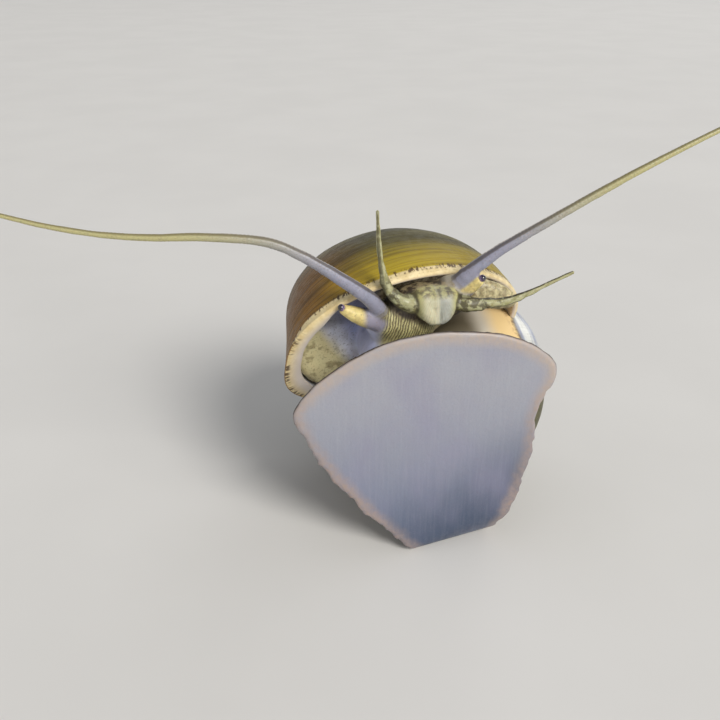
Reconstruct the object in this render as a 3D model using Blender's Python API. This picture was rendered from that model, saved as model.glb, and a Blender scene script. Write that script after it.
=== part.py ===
"""Apple snail at life size: tail of the foot on the floor, front of the foot raised, feelers spread.

Sizes are in millimetres up to the mesh call, which writes metres. +Z is up, the camera side is -Y,
and left and right in the names are those of the viewer.
"""
import math

import bmesh
import bpy
from mathutils import Matrix, Vector

MM = 0.001
GAP = 0.3

# Shell: one generating oval that grows round the axis by a fixed factor in each turn.
SHELL_APEX = (23.2, 23.82, 23.0)
SHELL_TURN_BACK_DEG = 18.0
SHELL_ROLL_FORWARD_DEG = 26.0
WHORL_GROWTH = 1.94
OVAL_FROM_AXIS = 16.7
OVAL_BELOW_APEX = 36.4
OVAL_ACROSS = 17.4
OVAL_ALONG = 23.5
OVAL_LEAN = -0.8
OVAL_INNER_FULLNESS = 0.6
SHELL_WALL = 1.3
CAVITY_DEG = 150.0
PILLAR_RADIUS = 1.9
APEX_RADIUS = 1.9

# Foot: a broad sheet, raised behind the plane of its sole, bent back onto the floor at its tail.
SOLE_Y = -9.0
FOOT_X = -10.0
MARGIN_THICK = 1.2
FOOT_THICK_LOW = 3.5
FOOT_THICK_FRONT = 5.4
BEND_RADIUS_LEFT = 1.6
BEND_RADIUS_STEP = 0.48
FOOT_CUT_FRONT = 30.0
FOOT_CUT_TAIL = 5.0
# Edge of the sole, left then right: (distance along the foot, distance across it).
FOOT_LEFT = [(-12.0, 9.6), (-11.0, 8.0), (-8.0, 5.6), (-4.0, 2.9), (0.0, 0.0), (4.0, -3.4), (8.4, -7.6),
             (13.0, -11.3), (17.8, -14.8), (21.0, -16.8), (24.3, -18.6), (27.5, -19.9), (30.6, -20.9),
             (33.4, -20.2), (36.0, -17.9), (38.8, -14.5), (41.8, -9.5), (44.0, -4.0), (45.4, 2.6)]
FOOT_RIGHT = [(-12.0, 10.4), (-11.0, 12.2), (-8.0, 14.4), (-4.0, 16.2), (0.0, 17.2), (4.0, 17.6),
              (8.4, 19.0), (13.0, 20.2), (17.1, 21.2), (21.0, 21.9), (25.6, 22.1), (28.5, 22.2),
              (31.6, 22.9), (34.0, 24.2), (36.4, 24.7), (39.0, 23.9), (42.0, 19.8), (44.0, 13.9), (45.4, 4.4)]

# Head and neck, as (centre, radii).
HEAD = ((-7.3, -2.7, 48.5), (7.0, 3.9, 3.4))
NECK_TOP = ((-11.6, -1.6, 44.9), (6.4, 4.4, 4.2))
NECK_STALK = [(-12.0, -3.0, 36.5, 6.2), (-11.5, 2.5, 38.0, 6.8), (-10.5, 8.5, 39.5, 6.2)]
NECK_BACK = [(-10.5, -1.0, 44.8, 4.0), (-9.5, 3.5, 43.5, 4.2), (-9.0, 9.0, 41.0, 4.0)]
SNOUT = ((-6.4, -5.2, 48.5), (4.4, 2.9, 2.7))
LIP_PAD = (2.1, 1.4, 2.5)
LIP_PAD_Y = -7.1
LIP_PAD_SPREAD = 1.6
MOUTH_X = -6.4
MOUTH_Z = 48.7
MOUTH_HALF_HEIGHT = 1.9
MOUTH_WIDTH = 0.45
MOUTH_DEPTH = 1.3

# Feelers: (x, y, z, radius) along each middle line, root to tip.
TENTACLE_LEFT = [(-14.6, -3.6, 46.3, 1.5), (-16.4, -5.2, 49.3, 1.35), (-18.3, -6.6, 51.7, 1.27),
                 (-22.4, -7.4, 55.1, 1.08), (-28.6, -7.5, 59.3, 0.85), (-34.4, -7.5, 61.8, 0.77),
                 (-43.7, -7.4, 62.8, 0.65), (-51.2, -7.1, 62.9, 0.56), (-58.6, -6.6, 63.5, 0.48),
                 (-65.8, -6.1, 64.8, 0.42), (-71.3, -5.6, 66.2, 0.37), (-77.6, -5.0, 68.0, 0.30),
                 (-83.5, -4.3, 69.3, 0.20)]
TENTACLE_RIGHT = [(-3.8, -2.9, 50.5, 1.45), (-1.8, -3.7, 52.8, 1.38), (-0.5, -4.2, 54.3, 1.28),
                  (4.1, -4.6, 57.9, 0.96), (11.9, -5.0, 62.7, 0.76), (19.6, -5.0, 67.1, 0.66),
                  (27.2, -5.0, 71.2, 0.55), (36.4, -4.6, 75.6, 0.46), (44.2, -4.0, 78.8, 0.36),
                  (51.5, -3.3, 81.2, 0.20)]
TENTACLE_LENGTHS = (0.0, 0.3, 0.64, 1.0)
PALP_LEFT = [(-9.6, -5.2, 49.4, 1.45), (-11.4, -5.9, 49.8, 1.35), (-13.1, -5.7, 50.6, 1.2),
             (-14.7, -5.5, 52.6, 0.85), (-15.6, -5.6, 56.2, 0.52), (-16.1, -5.6, 60.5, 0.39),
             (-16.3, -5.4, 65.3, 0.25)]
PALP_RIGHT = [(-3.4, -5.3, 49.2, 1.4), (-1.0, -6.0, 49.1, 1.3), (1.9, -5.8, 49.0, 1.0),
              (5.5, -5.4, 49.1, 0.76), (8.8, -5.2, 50.0, 0.52), (12.6, -5.0, 51.7, 0.39),
              (16.8, -4.8, 53.5, 0.25)]
EYE_RADIUS = 0.62
EYE_LEFT = (-22.2, -6.1, 49.55)
EYE_RIGHT = (1.15, -5.5, 53.4)
STALK_LEFT = [(-14.8, -3.4, 45.7, 1.9), (-17.6, -4.6, 46.6, 1.6), (-19.8, -5.4, 47.9, 1.35),
              (-21.6, -5.8, 49.0, 0.95)]
STALK_RIGHT = [(-3.4, -3.0, 48.6, 1.6), (-1.9, -3.8, 50.0, 1.3), (-0.5, -4.5, 51.4, 1.1),
               (0.7, -5.2, 52.8, 0.85)]
SIPHON = ((3.8, 1.3, 47.8), (6.1, 1.5, 2.5))
SIPHON_TILT_DEG = 18.0

# Operculum: the thin lid behind the raised foot.
LID_CENTRE = (-6.0, -3.75, 15.8)
LID_HALF_LENGTH = 12.6
LID_HALF_WIDTH = 9.4
LID_THICK = 0.9
LID_LEAN = 0.09
LID_TURN_DEG = 14.0

# Mantle: the soft collar that fills the shell behind its lip, in degrees back from the lip.
MANTLE_FRONT_DEG = 11.0
MANTLE_BACK_DEG = 62.0


def material(name, colour, roughness):
    made = bpy.data.materials.new(name)
    made.use_nodes = True
    shader = made.node_tree.nodes["Principled BSDF"]
    shader.inputs["Base Color"].default_value = (*colour, 1.0)
    shader.inputs["Roughness"].default_value = roughness
    shader.inputs["Metallic"].default_value = 0.0
    return made


def mesh_object(name, points, faces):
    mesh = bpy.data.meshes.new(name)
    mesh.from_pydata([Vector(p) * MM for p in points], [], faces)
    form = bmesh.new()
    form.from_mesh(mesh)
    bmesh.ops.recalc_face_normals(form, faces=form.faces)
    form.to_mesh(mesh)
    form.free()
    made = bpy.data.objects.new(name, mesh)
    bpy.context.scene.collection.objects.link(made)
    return made


def loft(name, rings, start_tip=None, end_tip=None):
    """Closed solid through rings of equal count, ended by a flat face or by a tip point."""
    count = len(rings[0])
    points = [p for ring in rings for p in ring]
    faces = []
    for row in range(len(rings) - 1):
        for i in range(count):
            j = (i + 1) % count
            low = row * count
            faces.append((low + i, low + j, low + count + j, low + count + i))
    for tip, first in ((start_tip, 0), (end_tip, (len(rings) - 1) * count)):
        if tip is None:
            faces.append(tuple(range(first, first + count)))
            continue
        points.append(tip)
        centre = len(points) - 1
        for i in range(count):
            faces.append((first + i, first + (i + 1) % count, centre))
    return mesh_object(name, points, faces)


def curve_points(stations, steps):
    """Smooth curve through stations of any dimension, with the same number of steps in each span."""
    result = []
    last = len(stations) - 1
    for k in range(last):
        before = stations[max(k - 1, 0)]
        start = stations[k]
        end = stations[k + 1]
        after = stations[min(k + 2, last)]
        for step in range(steps):
            t = step / steps
            result.append(tuple(
                0.5 * (2 * b + (c - a) * t + (2 * a - 5 * b + 4 * c - d) * t * t
                       + (3 * b - a - 3 * c + d) * t ** 3)
                for a, b, c, d in zip(before, start, end, after)))
    result.append(tuple(float(value) for value in stations[last]))
    return result


def sweep(name, stations, steps=3, sides=12, grow=0.0, round_start=True, round_end=True):
    """Round limb along its middle line; each station is (x, y, z, radius)."""
    line = curve_points(stations, steps)
    centres = [Vector(p[:3]) for p in line]
    radii = [max(p[3], 0.05) + grow for p in line]
    tangents = []
    for i in range(len(centres)):
        ahead = centres[min(i + 1, len(centres) - 1)]
        behind = centres[max(i - 1, 0)]
        tangents.append((ahead - behind).normalized())
    side = tangents[0].orthogonal().normalized()
    rings = []
    for centre, radius, tangent in zip(centres, radii, tangents):
        side = (side - tangent * side.dot(tangent)).normalized()
        other = tangent.cross(side)
        rings.append([centre + (side * math.cos(2 * math.pi * k / sides)
                                + other * math.sin(2 * math.pi * k / sides)) * radius
                      for k in range(sides)])
    start_tip = None
    end_tip = None
    if round_start:
        start_tip = centres[0] - tangents[0] * radii[0] * 0.6
    if round_end:
        end_tip = centres[-1] + tangents[-1] * radii[-1] * 0.9
    return loft(name, rings, start_tip, end_tip)


def ellipsoid(name, centre, radii, grow=0.0, turn=None, rows=10, sides=18):
    size = [r + grow for r in radii]
    turn = turn or Matrix.Identity(3)
    middle = Vector(centre)

    def point(lat, lon):
        flat = Vector((size[0] * math.cos(lat) * math.cos(lon),
                       size[1] * math.cos(lat) * math.sin(lon), size[2] * math.sin(lat)))
        return middle + turn @ flat

    rings = []
    for row in range(1, rows):
        lat = -math.pi / 2 + math.pi * row / rows
        rings.append([point(lat, 2 * math.pi * k / sides) for k in range(sides)])
    return loft(name, rings, point(-math.pi / 2, 0.0), point(math.pi / 2, 0.0))


def box(name, low, high):
    xs, ys, zs = zip(low, high)
    points = [(x, y, z) for x in xs for y in ys for z in zs]
    faces = [(0, 1, 3, 2), (4, 6, 7, 5), (0, 4, 5, 1), (2, 3, 7, 6), (0, 2, 6, 4), (1, 5, 7, 3)]
    return mesh_object(name, points, faces)


def keep_largest(piece):
    """Drop loose shells of surface that a Boolean may leave, keeping the one of most faces."""
    form = bmesh.new()
    form.from_mesh(piece.data)
    unseen = set(form.verts)
    groups = []
    while unseen:
        queue = [unseen.pop()]
        group = set(queue)
        while queue:
            for edge in queue.pop().link_edges:
                for vert in edge.verts:
                    if vert in unseen:
                        unseen.discard(vert)
                        group.add(vert)
                        queue.append(vert)
        groups.append(group)
    best = max(groups, key=len)
    spare = [v for group in groups if group is not best for v in group]
    bmesh.ops.delete(form, geom=spare, context="VERTS")
    form.to_mesh(piece.data)
    form.free()


def apply_boolean(piece, others, operation):
    """One Boolean against a collection of closed pieces, which are removed afterwards."""
    group = bpy.data.collections.new("operands")
    bpy.context.scene.collection.children.link(group)
    for other in others:
        other.hide_render = True
        other.display_type = "WIRE"
        group.objects.link(other)
    change = piece.modifiers.new("change", "BOOLEAN")
    change.operation = operation
    change.solver = "EXACT"
    change.operand_type = "COLLECTION"
    change.collection = group
    change.use_self = operation == "UNION"
    graph = bpy.context.evaluated_depsgraph_get()
    result = bpy.data.meshes.new_from_object(piece.evaluated_get(graph))
    piece.modifiers.clear()
    piece.data = result
    for other in others:
        bpy.data.objects.remove(other)
    bpy.data.collections.remove(group)
    return piece


def finish(piece, name, look):
    """Weld, keep the one closed surface, shade smooth and give the node its name and material."""
    form = bmesh.new()
    form.from_mesh(piece.data)
    bmesh.ops.remove_doubles(form, verts=form.verts, dist=0.000001)
    form.to_mesh(piece.data)
    form.free()
    keep_largest(piece)
    piece.data.materials.clear()
    piece.data.materials.append(look)
    for face in piece.data.polygons:
        face.use_smooth = True
    piece.name = name
    piece.data.name = name
    return piece


def shell_axes():
    back = math.radians(SHELL_TURN_BACK_DEG)
    roll = math.radians(SHELL_ROLL_FORWARD_DEG)
    axis = Vector((math.cos(back), math.sin(back), 0.0))
    up = Vector((0.0, 0.0, 1.0))
    forward = axis.cross(up)
    lip = up * math.cos(roll) + forward * math.sin(roll)
    return lip, axis.cross(lip), axis


def whorl_ring(turn_deg, inset=0.0, sides=32, scale=1.0):
    """Ring of the generating oval at an angle before the lip, drawn in by an inset in millimetres."""
    lip, opening, axis = shell_axes()
    angle = math.radians(turn_deg)
    growth = WHORL_GROWTH ** (turn_deg / 360.0)
    outward = lip * math.cos(angle) + opening * math.sin(angle)
    apex = Vector(SHELL_APEX)
    ring = []
    for k in range(sides):
        v = 2 * math.pi * k / sides
        across = OVAL_ACROSS * growth * scale - inset
        along = OVAL_ALONG * growth * scale - inset
        reach = math.cos(v)
        if reach < 0.0:
            reach = -((-reach) ** OVAL_INNER_FULLNESS)
        radius = OVAL_FROM_AXIS * growth + across * reach + OVAL_LEAN * growth * math.sin(v)
        height = -OVAL_BELOW_APEX * growth + along * math.sin(v)
        ring.append(apex + outward * max(radius, 0.35) + axis * height)
    return ring


def whorl(name, start_deg, end_deg, steps, inset=0.0, sides=32, scale=1.0):
    angles = [start_deg + (end_deg - start_deg) * k / steps for k in range(steps + 1)]
    return loft(name, [whorl_ring(a, inset, sides, scale) for a in angles])


def pillar(name, grow=0.0):
    _, _, axis = shell_axes()
    apex = Vector(SHELL_APEX)
    line = [(*(apex - axis * 33.0), PILLAR_RADIUS * 0.8), (*(apex - axis * 22.0), PILLAR_RADIUS),
            (*(apex - axis * 11.0), PILLAR_RADIUS)]
    return sweep(name, line, 2, 12, grow)


def build_shell(look):
    _, _, axis = shell_axes()
    apex = Vector(SHELL_APEX)
    last = whorl("last_whorl", -350.0, 0.0, 42)
    cavity = whorl("cavity", -CAVITY_DEG, 3.0, 18, SHELL_WALL)
    apply_boolean(last, [cavity], "DIFFERENCE")
    older = [whorl("second_whorl", -690.0, -330.0, 30, 0.0, 26, 0.985),
             whorl("third_whorl", -1030.0, -670.0, 22, 0.0, 18, 0.975),
             whorl("first_whorls", -1360.0, -1010.0, 16, 0.0, 12, 0.965),
             ellipsoid("apex_cap", apex - axis * 2.6, (APEX_RADIUS,) * 3, rows=8, sides=12),
             pillar("pillar")]
    apply_boolean(last, older, "UNION")
    apply_boolean(last, [box("floor", (-60, -60, -10), (60, 80, 0))], "DIFFERENCE")
    return finish(last, "shell", look)


def edge_at(edge, along):
    for (low, first), (high, second) in zip(edge, edge[1:]):
        if low <= along <= high:
            t = (along - low) / (high - low)
            return first + (second - first) * t
    return edge[-1][1] if along > edge[-1][0] else edge[0][1]


def smooth_step(value, low, high):
    t = min(max((value - low) / (high - low), 0.0), 1.0)
    return t * t * (3 - 2 * t)


def edge_distance(across, along):
    """Distance from a place on the sole to the nearest edge of the foot."""
    best = 1e9
    outline = [(u, s) for s, u in FOOT_LEFT] + [(u, s) for s, u in reversed(FOOT_RIGHT)]
    for (u0, s0), (u1, s1) in zip(outline, outline[1:] + outline[:1]):
        du, ds = u1 - u0, s1 - s0
        length = du * du + ds * ds
        t = 0.0 if length == 0 else ((across - u0) * du + (along - s0) * ds) / length
        t = min(max(t, 0.0), 1.0)
        best = min(best, math.hypot(across - u0 - du * t, along - s0 - ds * t))
    return best


def foot_thickness(across, along):
    body = FOOT_THICK_LOW + (FOOT_THICK_FRONT - FOOT_THICK_LOW) * smooth_step(along, 29.0, 36.0)
    body -= 1.5 * smooth_step(-along, -3.0, 8.0)
    inside = edge_distance(across, along)
    thick = MARGIN_THICK + (body - MARGIN_THICK) * smooth_step(inside, 0.0, 6.0)
    return min(thick, 0.72 * bend_radius(across) + 0.5 * max(0.0, along))


def bend_radius(across):
    return BEND_RADIUS_LEFT + BEND_RADIUS_STEP * min(max(across, 0.0), 18.0)


def bend(across, along, height):
    """Lay a place on the flat foot on the bent one: raised part, round bend, then the floor."""
    radius = bend_radius(across)
    if along >= radius:
        return (across + FOOT_X, SOLE_Y + height, along)
    turn = min((radius - along) / radius, math.pi / 2)
    past = max(0.0, radius - along - radius * math.pi / 2)
    y = radius * (1 - math.cos(turn)) + height * math.cos(turn) + past
    z = radius * (1 - math.sin(turn)) + height * math.sin(turn)
    return (across + FOOT_X, SOLE_Y + y, z)


def foot_length(name, start, end, rows, columns, grow=0.0, sole=0.0):
    """One length of the foot as a closed sheet: a back grid, a sole grid and a rounded rim."""
    low, high = FOOT_LEFT[0][0], FOOT_LEFT[-1][0]
    points = []
    for layer in (0, 1):
        for row in range(rows + 1):
            t = row / rows
            if end >= high:
                t = 1 - (1 - t) ** 1.6
            if start <= low:
                t = t ** 1.4
            along = start + (end - start) * t
            left = edge_at(FOOT_LEFT, along) - grow
            right = edge_at(FOOT_RIGHT, along) + grow
            for column in range(columns + 1):
                c = column / columns
                c = c + 0.5 * (c * c * (3 - 2 * c) - c)
                across = left + (right - left) * c
                thick = foot_thickness(across, along) + grow
                points.append(bend(across, along, thick if layer else sole))
    width = columns + 1
    count = (rows + 1) * width
    faces = []
    for row in range(rows):
        for column in range(columns):
            a = row * width + column
            faces.append((a, a + 1, a + width + 1, a + width))
            faces.append((count + a, count + a + width, count + a + width + 1, count + a + 1))
    border = [c for c in range(width)]
    border += [row * width + columns for row in range(1, rows + 1)]
    border += [rows * width + c for c in range(columns - 1, -1, -1)]
    border += [row * width for row in range(rows - 1, 0, -1)]
    for a, b in zip(border, border[1:] + border[:1]):
        faces.append((a, b, count + b, count + a))
    return mesh_object(name, points, faces)


def foot_cutter():
    """The whole foot with the touching gap added, to trim what grows from it."""
    return foot_length("foot_cutter", FOOT_CUT_TAIL, FOOT_LEFT[-1][0] + GAP, 22, 18, GAP, -4.0)


def build_foot(look):
    low, high = FOOT_LEFT[0][0], FOOT_LEFT[-1][0]
    half = GAP / 2
    finish(foot_length("a", FOOT_CUT_FRONT + half, high, 12, 20), "foot_front", look)
    finish(foot_length("b", FOOT_CUT_TAIL + half, FOOT_CUT_FRONT - half, 14, 20), "foot_middle", look)
    finish(foot_length("c", low, FOOT_CUT_TAIL - half, 18, 14), "foot_tail", look)


def build_lid(look):
    turn = math.radians(LID_TURN_DEG)
    long_way = Vector((-math.sin(turn), -LID_LEAN, math.cos(turn))).normalized()
    wide_way = Vector((math.cos(turn), 0.0, math.sin(turn)))
    normal = long_way.cross(wide_way).normalized()
    centre = Vector(LID_CENTRE)
    rings = []
    for size, lift in ((0.55, -0.5), (0.985, -0.5), (1.0, 0.0), (0.985, 0.5), (0.55, 0.5)):
        ring = []
        for k in range(36):
            a = 2 * math.pi * k / 36
            narrow = 1.0 - 0.10 * math.sin(a)
            flat = (long_way * math.sin(a) * LID_HALF_LENGTH
                    + wide_way * math.cos(a) * LID_HALF_WIDTH * narrow) * size
            ring.append(centre + flat + normal * lift * LID_THICK)
        rings.append(ring)
    middle = normal * LID_THICK * 0.5
    return finish(loft("lid", rings, centre - middle, centre + middle), "operculum", look)


def mantle_pieces(grow=0.0):
    rings = []
    for turn_deg, extra in ((-MANTLE_BACK_DEG, 0.0), (-52.0, 0.0), (-42.0, 0.0), (-33.0, 0.0), (-25.0, 0.0),
                            (-18.0, 0.0), (-MANTLE_FRONT_DEG - 1.5, 0.2), (-MANTLE_FRONT_DEG, 1.6)):
        rings.append(whorl_ring(turn_deg + grow, SHELL_WALL + GAP + extra, 28))
    return [loft("mantle_body", rings)]


def build_mantle(look):
    body = mantle_pieces()[0]
    inner = whorl("parietal", -480.0, -355.0, 14, -GAP, 28)
    apply_boolean(body, [inner], "DIFFERENCE")
    apply_boolean(body, [pillar("pillar_room", GAP)], "DIFFERENCE")
    return finish(body, "mantle", look)


def neck_pieces(grow=0.0):
    return [ellipsoid("neck_top", *NECK_TOP, grow, rows=12, sides=22),
            sweep("neck_stalk", NECK_STALK, 3, 18, grow),
            sweep("neck_back", NECK_BACK, 3, 16, grow)]


def head_pieces(grow=0.0):
    return [ellipsoid("head_form", *HEAD, grow, rows=12, sides=24)]


def snout_pieces(grow=0.0):
    pads = []
    for side in (-1, 1):
        centre = (MOUTH_X + side * LIP_PAD_SPREAD, LIP_PAD_Y, MOUTH_Z - 0.4)
        pads.append(ellipsoid("lip_pad", centre, LIP_PAD, grow, rows=10, sides=16))
    return [ellipsoid("snout_form", *SNOUT, grow, rows=12, sides=22)] + pads


def tentacle_span(stations, start, end):
    """Part of a feeler between two shares of its length."""
    line = curve_points(stations, 4)
    run = [0.0]
    for a, b in zip(line, line[1:]):
        run.append(run[-1] + math.dist(a[:3], b[:3]))
    total = run[-1]

    def at(share):
        want = share * total
        for k in range(len(run) - 1):
            if run[k + 1] >= want:
                t = (want - run[k]) / max(run[k + 1] - run[k], 1e-9)
                return tuple(a + (b - a) * t for a, b in zip(line[k], line[k + 1]))
        return line[-1]

    inner = [line[k] for k in range(len(line)) if start * total + 0.6 < run[k] < end * total - 0.6]
    return [at(start), *inner, at(end)], total


def build_tentacle(side, stations, cutters, look):
    for k, part in enumerate(("base", "middle", "tip")):
        _, total = tentacle_span(stations, 0.0, 1.0)
        half = GAP / 2 / total
        start = TENTACLE_LENGTHS[k] + (half if k else 0.0)
        end = TENTACLE_LENGTHS[k + 1] - (half if k < 2 else 0.0)
        span, _ = tentacle_span(stations, start, end)
        piece = sweep("length", span, 1, 10, 0.0, k == 0, k == 2)
        if k == 0:
            apply_boolean(piece, cutters(), "DIFFERENCE")
        finish(piece, "tentacle_" + side + "_" + part, look)


def build_limb(name, piece, cutters, look):
    apply_boolean(piece, cutters, "DIFFERENCE")
    return finish(piece, name, look)


def build_head_and_neck(skin, pale, yellow, dark):
    neck = neck_pieces()
    apply_boolean(neck[0], neck[1:], "UNION")
    apply_boolean(neck[0], [foot_cutter()], "DIFFERENCE")
    apply_boolean(neck[0], mantle_pieces(GAP * 1.2), "DIFFERENCE")
    finish(neck[0], "neck", yellow)

    head = head_pieces()[0]
    build_limb("head", head, neck_pieces(GAP) + [foot_cutter()], dark)

    snout = snout_pieces()
    apply_boolean(snout[0], snout[1:], "UNION")
    slit = box("slit", (MOUTH_X - MOUTH_WIDTH / 2, LIP_PAD_Y - 3.0, MOUTH_Z - MOUTH_HALF_HEIGHT),
               (MOUTH_X + MOUTH_WIDTH / 2, LIP_PAD_Y - 1.2 + MOUTH_DEPTH, MOUTH_Z + MOUTH_HALF_HEIGHT))
    apply_boolean(snout[0], [slit], "DIFFERENCE")
    build_limb("snout", snout[0], head_pieces(GAP) + neck_pieces(GAP) + [foot_cutter()], pale)

    for side, line in (("left", PALP_LEFT), ("right", PALP_RIGHT)):
        limb = sweep("palp", line, 3, 10)
        build_limb("palp_" + side, limb, snout_pieces(GAP) + head_pieces(GAP) + neck_pieces(GAP), yellow)

    def roots():
        return head_pieces(GAP) + neck_pieces(GAP)

    def face():
        return snout_pieces(GAP) + roots()

    build_tentacle("left", TENTACLE_LEFT, face, skin)
    build_tentacle("right", TENTACLE_RIGHT, face, skin)

    stalks = (("left", STALK_LEFT, TENTACLE_LEFT, PALP_LEFT, EYE_LEFT),
              ("right", STALK_RIGHT, TENTACLE_RIGHT, PALP_RIGHT, EYE_RIGHT))
    for side, line, beside, below, eye in stalks:
        limb = sweep("stalk", line, 3, 14)
        room = roots() + [sweep("beside", beside[:4], 4, 12, GAP), sweep("below", below, 3, 10, GAP),
                          ellipsoid("socket", eye, (EYE_RADIUS,) * 3, GAP, rows=8, sides=14)]
        build_limb("eye_stalk_" + side, limb, room, skin)

    lobe_turn = Matrix.Rotation(math.radians(SIPHON_TILT_DEG), 3, "Y")
    lobe = ellipsoid("lobe", *SIPHON, 0.0, lobe_turn, 10, 22)
    room = roots() + [foot_cutter(), sweep("beside", TENTACLE_RIGHT[:4], 4, 12, GAP),
                      sweep("above", STALK_RIGHT, 3, 14, GAP)]
    build_limb("siphon_lobe", lobe, room, dark)


def build_eyes(look):
    for side, centre in (("left", EYE_LEFT), ("right", EYE_RIGHT)):
        eye = ellipsoid("eye", centre, (EYE_RADIUS,) * 3, rows=10, sides=16)
        finish(eye, "eye_" + side, look)


def main():
    for old in list(bpy.data.objects):
        bpy.data.objects.remove(old)
    olive = material("shell_olive", (0.30, 0.23, 0.07), 0.35)
    brown = material("lid_brown", (0.16, 0.08, 0.03), 0.5)
    sole = material("sole_grey", (0.36, 0.36, 0.46), 0.5)
    mantle = material("mantle_pale", (0.42, 0.45, 0.50), 0.45)
    skin = material("feeler_grey", (0.34, 0.34, 0.40), 0.45)
    pale = material("snout_pale", (0.50, 0.52, 0.42), 0.45)
    yellow = material("neck_yellow", (0.45, 0.45, 0.22), 0.5)
    dark = material("head_brown", (0.10, 0.08, 0.06), 0.5)
    eye = material("eye_dark", (0.02, 0.01, 0.03), 0.15)
    build_shell(olive)
    build_foot(sole)
    build_lid(brown)
    build_mantle(mantle)
    build_head_and_neck(skin, pale, yellow, dark)
    build_eyes(eye)


main()
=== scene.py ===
"""Looks of the apple snail: one seamless skin, a fine coiled shell, a horny lid and glossy eyes.

Shapes are worked out in millimetres and written in metres. +Z is up, the camera side is -Y, and left
and right in the names are those of the viewer.
"""
import math
from itertools import product

import bpy
import numpy as np
from mathutils import Euler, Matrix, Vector

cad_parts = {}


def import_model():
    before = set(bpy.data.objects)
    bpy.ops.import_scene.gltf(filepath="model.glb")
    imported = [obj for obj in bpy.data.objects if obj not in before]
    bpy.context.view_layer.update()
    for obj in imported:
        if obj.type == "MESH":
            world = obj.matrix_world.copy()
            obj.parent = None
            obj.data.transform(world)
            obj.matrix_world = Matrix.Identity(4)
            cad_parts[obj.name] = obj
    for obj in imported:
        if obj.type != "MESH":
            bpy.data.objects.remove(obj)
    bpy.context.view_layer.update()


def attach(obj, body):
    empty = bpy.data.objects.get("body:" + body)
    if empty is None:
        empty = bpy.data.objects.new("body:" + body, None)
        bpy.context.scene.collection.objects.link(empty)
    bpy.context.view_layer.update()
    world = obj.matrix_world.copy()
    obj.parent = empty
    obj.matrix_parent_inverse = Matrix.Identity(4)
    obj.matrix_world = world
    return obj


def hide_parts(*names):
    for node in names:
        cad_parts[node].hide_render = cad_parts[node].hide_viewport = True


MM = 0.001
TAU = 2.0 * math.pi

# Shell: one generating oval that grows round the axis by a fixed factor in each turn. Turns are in
# degrees, 0 at the lip and negative towards the apex.
SHELL_APEX = np.array((23.2, 23.82, 23.0))
SHELL_TURN_BACK_DEG = 18.0
SHELL_ROLL_FORWARD_DEG = 26.0
WHORL_GROWTH = 1.94
OVAL_FROM_AXIS = 16.7
OVAL_BELOW_APEX = 36.4
OVAL_ACROSS = 17.4
OVAL_ALONG = 23.5
OVAL_LEAN = -0.8
OVAL_INNER_FULLNESS = 0.6
SHELL_WALL = 1.3
LIP_WALL = 1.2
LIP_WALL_LEFT = 3.0
SUTURE_OVERLAP_DEG = 14.0
BASE_OVERLAP_DEG = 8.0
FIRST_TURN_DEG = -2100.0
CAVITY_DEG = -80.0
SHELL_COLUMNS = 150
GROWTH_LINES = 150
LIP_AHEAD = 1.3
LIP_ROWS = 14
APEX_BEAD = 0.5
APEX_BEAD_BELOW = 0.42

# Foot: a broad sheet, raised behind the plane of its sole, bent back onto the floor at its tail.
SOLE_Y = -9.0
FOOT_X = -10.0
MARGIN_THICK = 1.2
MARGIN_WIDE = 6.0
FOOT_THICK_LOW = 3.5
FOOT_THICK_FRONT = 5.4
TAIL_THINNER = 1.5
BEND_RADIUS_LEFT = 1.6
BEND_RADIUS_STEP = 0.48
# Edge of the sole, left then right: (distance along the foot, distance across it).
FOOT_LEFT = [(-12.0, 9.6), (-11.0, 8.0), (-8.0, 5.6), (-4.0, 2.9), (0.0, 0.0), (4.0, -3.4), (8.4, -7.6),
             (13.0, -11.3), (17.8, -14.8), (21.0, -16.8), (24.3, -18.6), (27.5, -19.9), (30.6, -20.9),
             (33.4, -20.2), (36.0, -17.9), (38.8, -14.5), (42.0, -9.5), (44.3, -4.0), (45.4, 2.6)]
FOOT_RIGHT = [(-12.0, 10.4), (-11.0, 12.2), (-8.0, 14.4), (-4.0, 16.2), (0.0, 17.2), (4.0, 17.6),
              (8.4, 19.0), (13.0, 20.2), (17.1, 21.2), (21.0, 21.9), (25.6, 22.1), (28.5, 22.2),
              (31.6, 22.9), (34.0, 24.2), (36.4, 24.7), (39.2, 23.9), (42.5, 19.8), (44.7, 13.9), (45.5, 6.0)]

# Head and neck, as (centre, radii) or stations (x, y, z, radius).
HEAD = ((-7.3, -2.7, 48.5), (7.0, 3.9, 3.4))
HEAD_TOP = ((-3.0, -2.4, 51.1), (2.9, 2.3, 1.8))
NECK_TOP = ((-11.6, -1.6, 44.9), (6.4, 4.4, 4.2))
NECK_STALK = [(-12.0, -3.0, 36.5, 6.2), (-11.5, 2.5, 38.0, 6.8), (-10.5, 8.5, 39.5, 6.2)]
NECK_BACK = [(-10.5, -1.0, 44.8, 4.0), (-9.5, 3.5, 43.5, 4.2), (-9.0, 9.0, 41.0, 4.0)]
SNOUT = ((-6.4, -4.9, 49.9), (4.2, 2.7, 1.85))
MOUTH_X = -6.4
MOUTH_SLIT = ((MOUTH_X + 0.42, -8.0, 48.1), (0.12, 0.45, 1.8))

# Lobe of the snout as (distance from its middle, y, z, radius), and the ridge where both lobes meet.
SNOUT_LOBE = [(2.05, -5.6, 50.2, 1.6), (1.75, -6.2, 49.1, 1.55), (1.35, -6.5, 48.0, 1.45),
              (0.7, -6.6, 47.05, 1.15)]
SNOUT_RIDGE = [(MOUTH_X, -6.6, 51.0, 0.35), (MOUTH_X, -7.1, 49.6, 0.4), (MOUTH_X, -7.3, 48.2, 0.4),
               (MOUTH_X, -7.2, 46.9, 0.35)]

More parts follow.
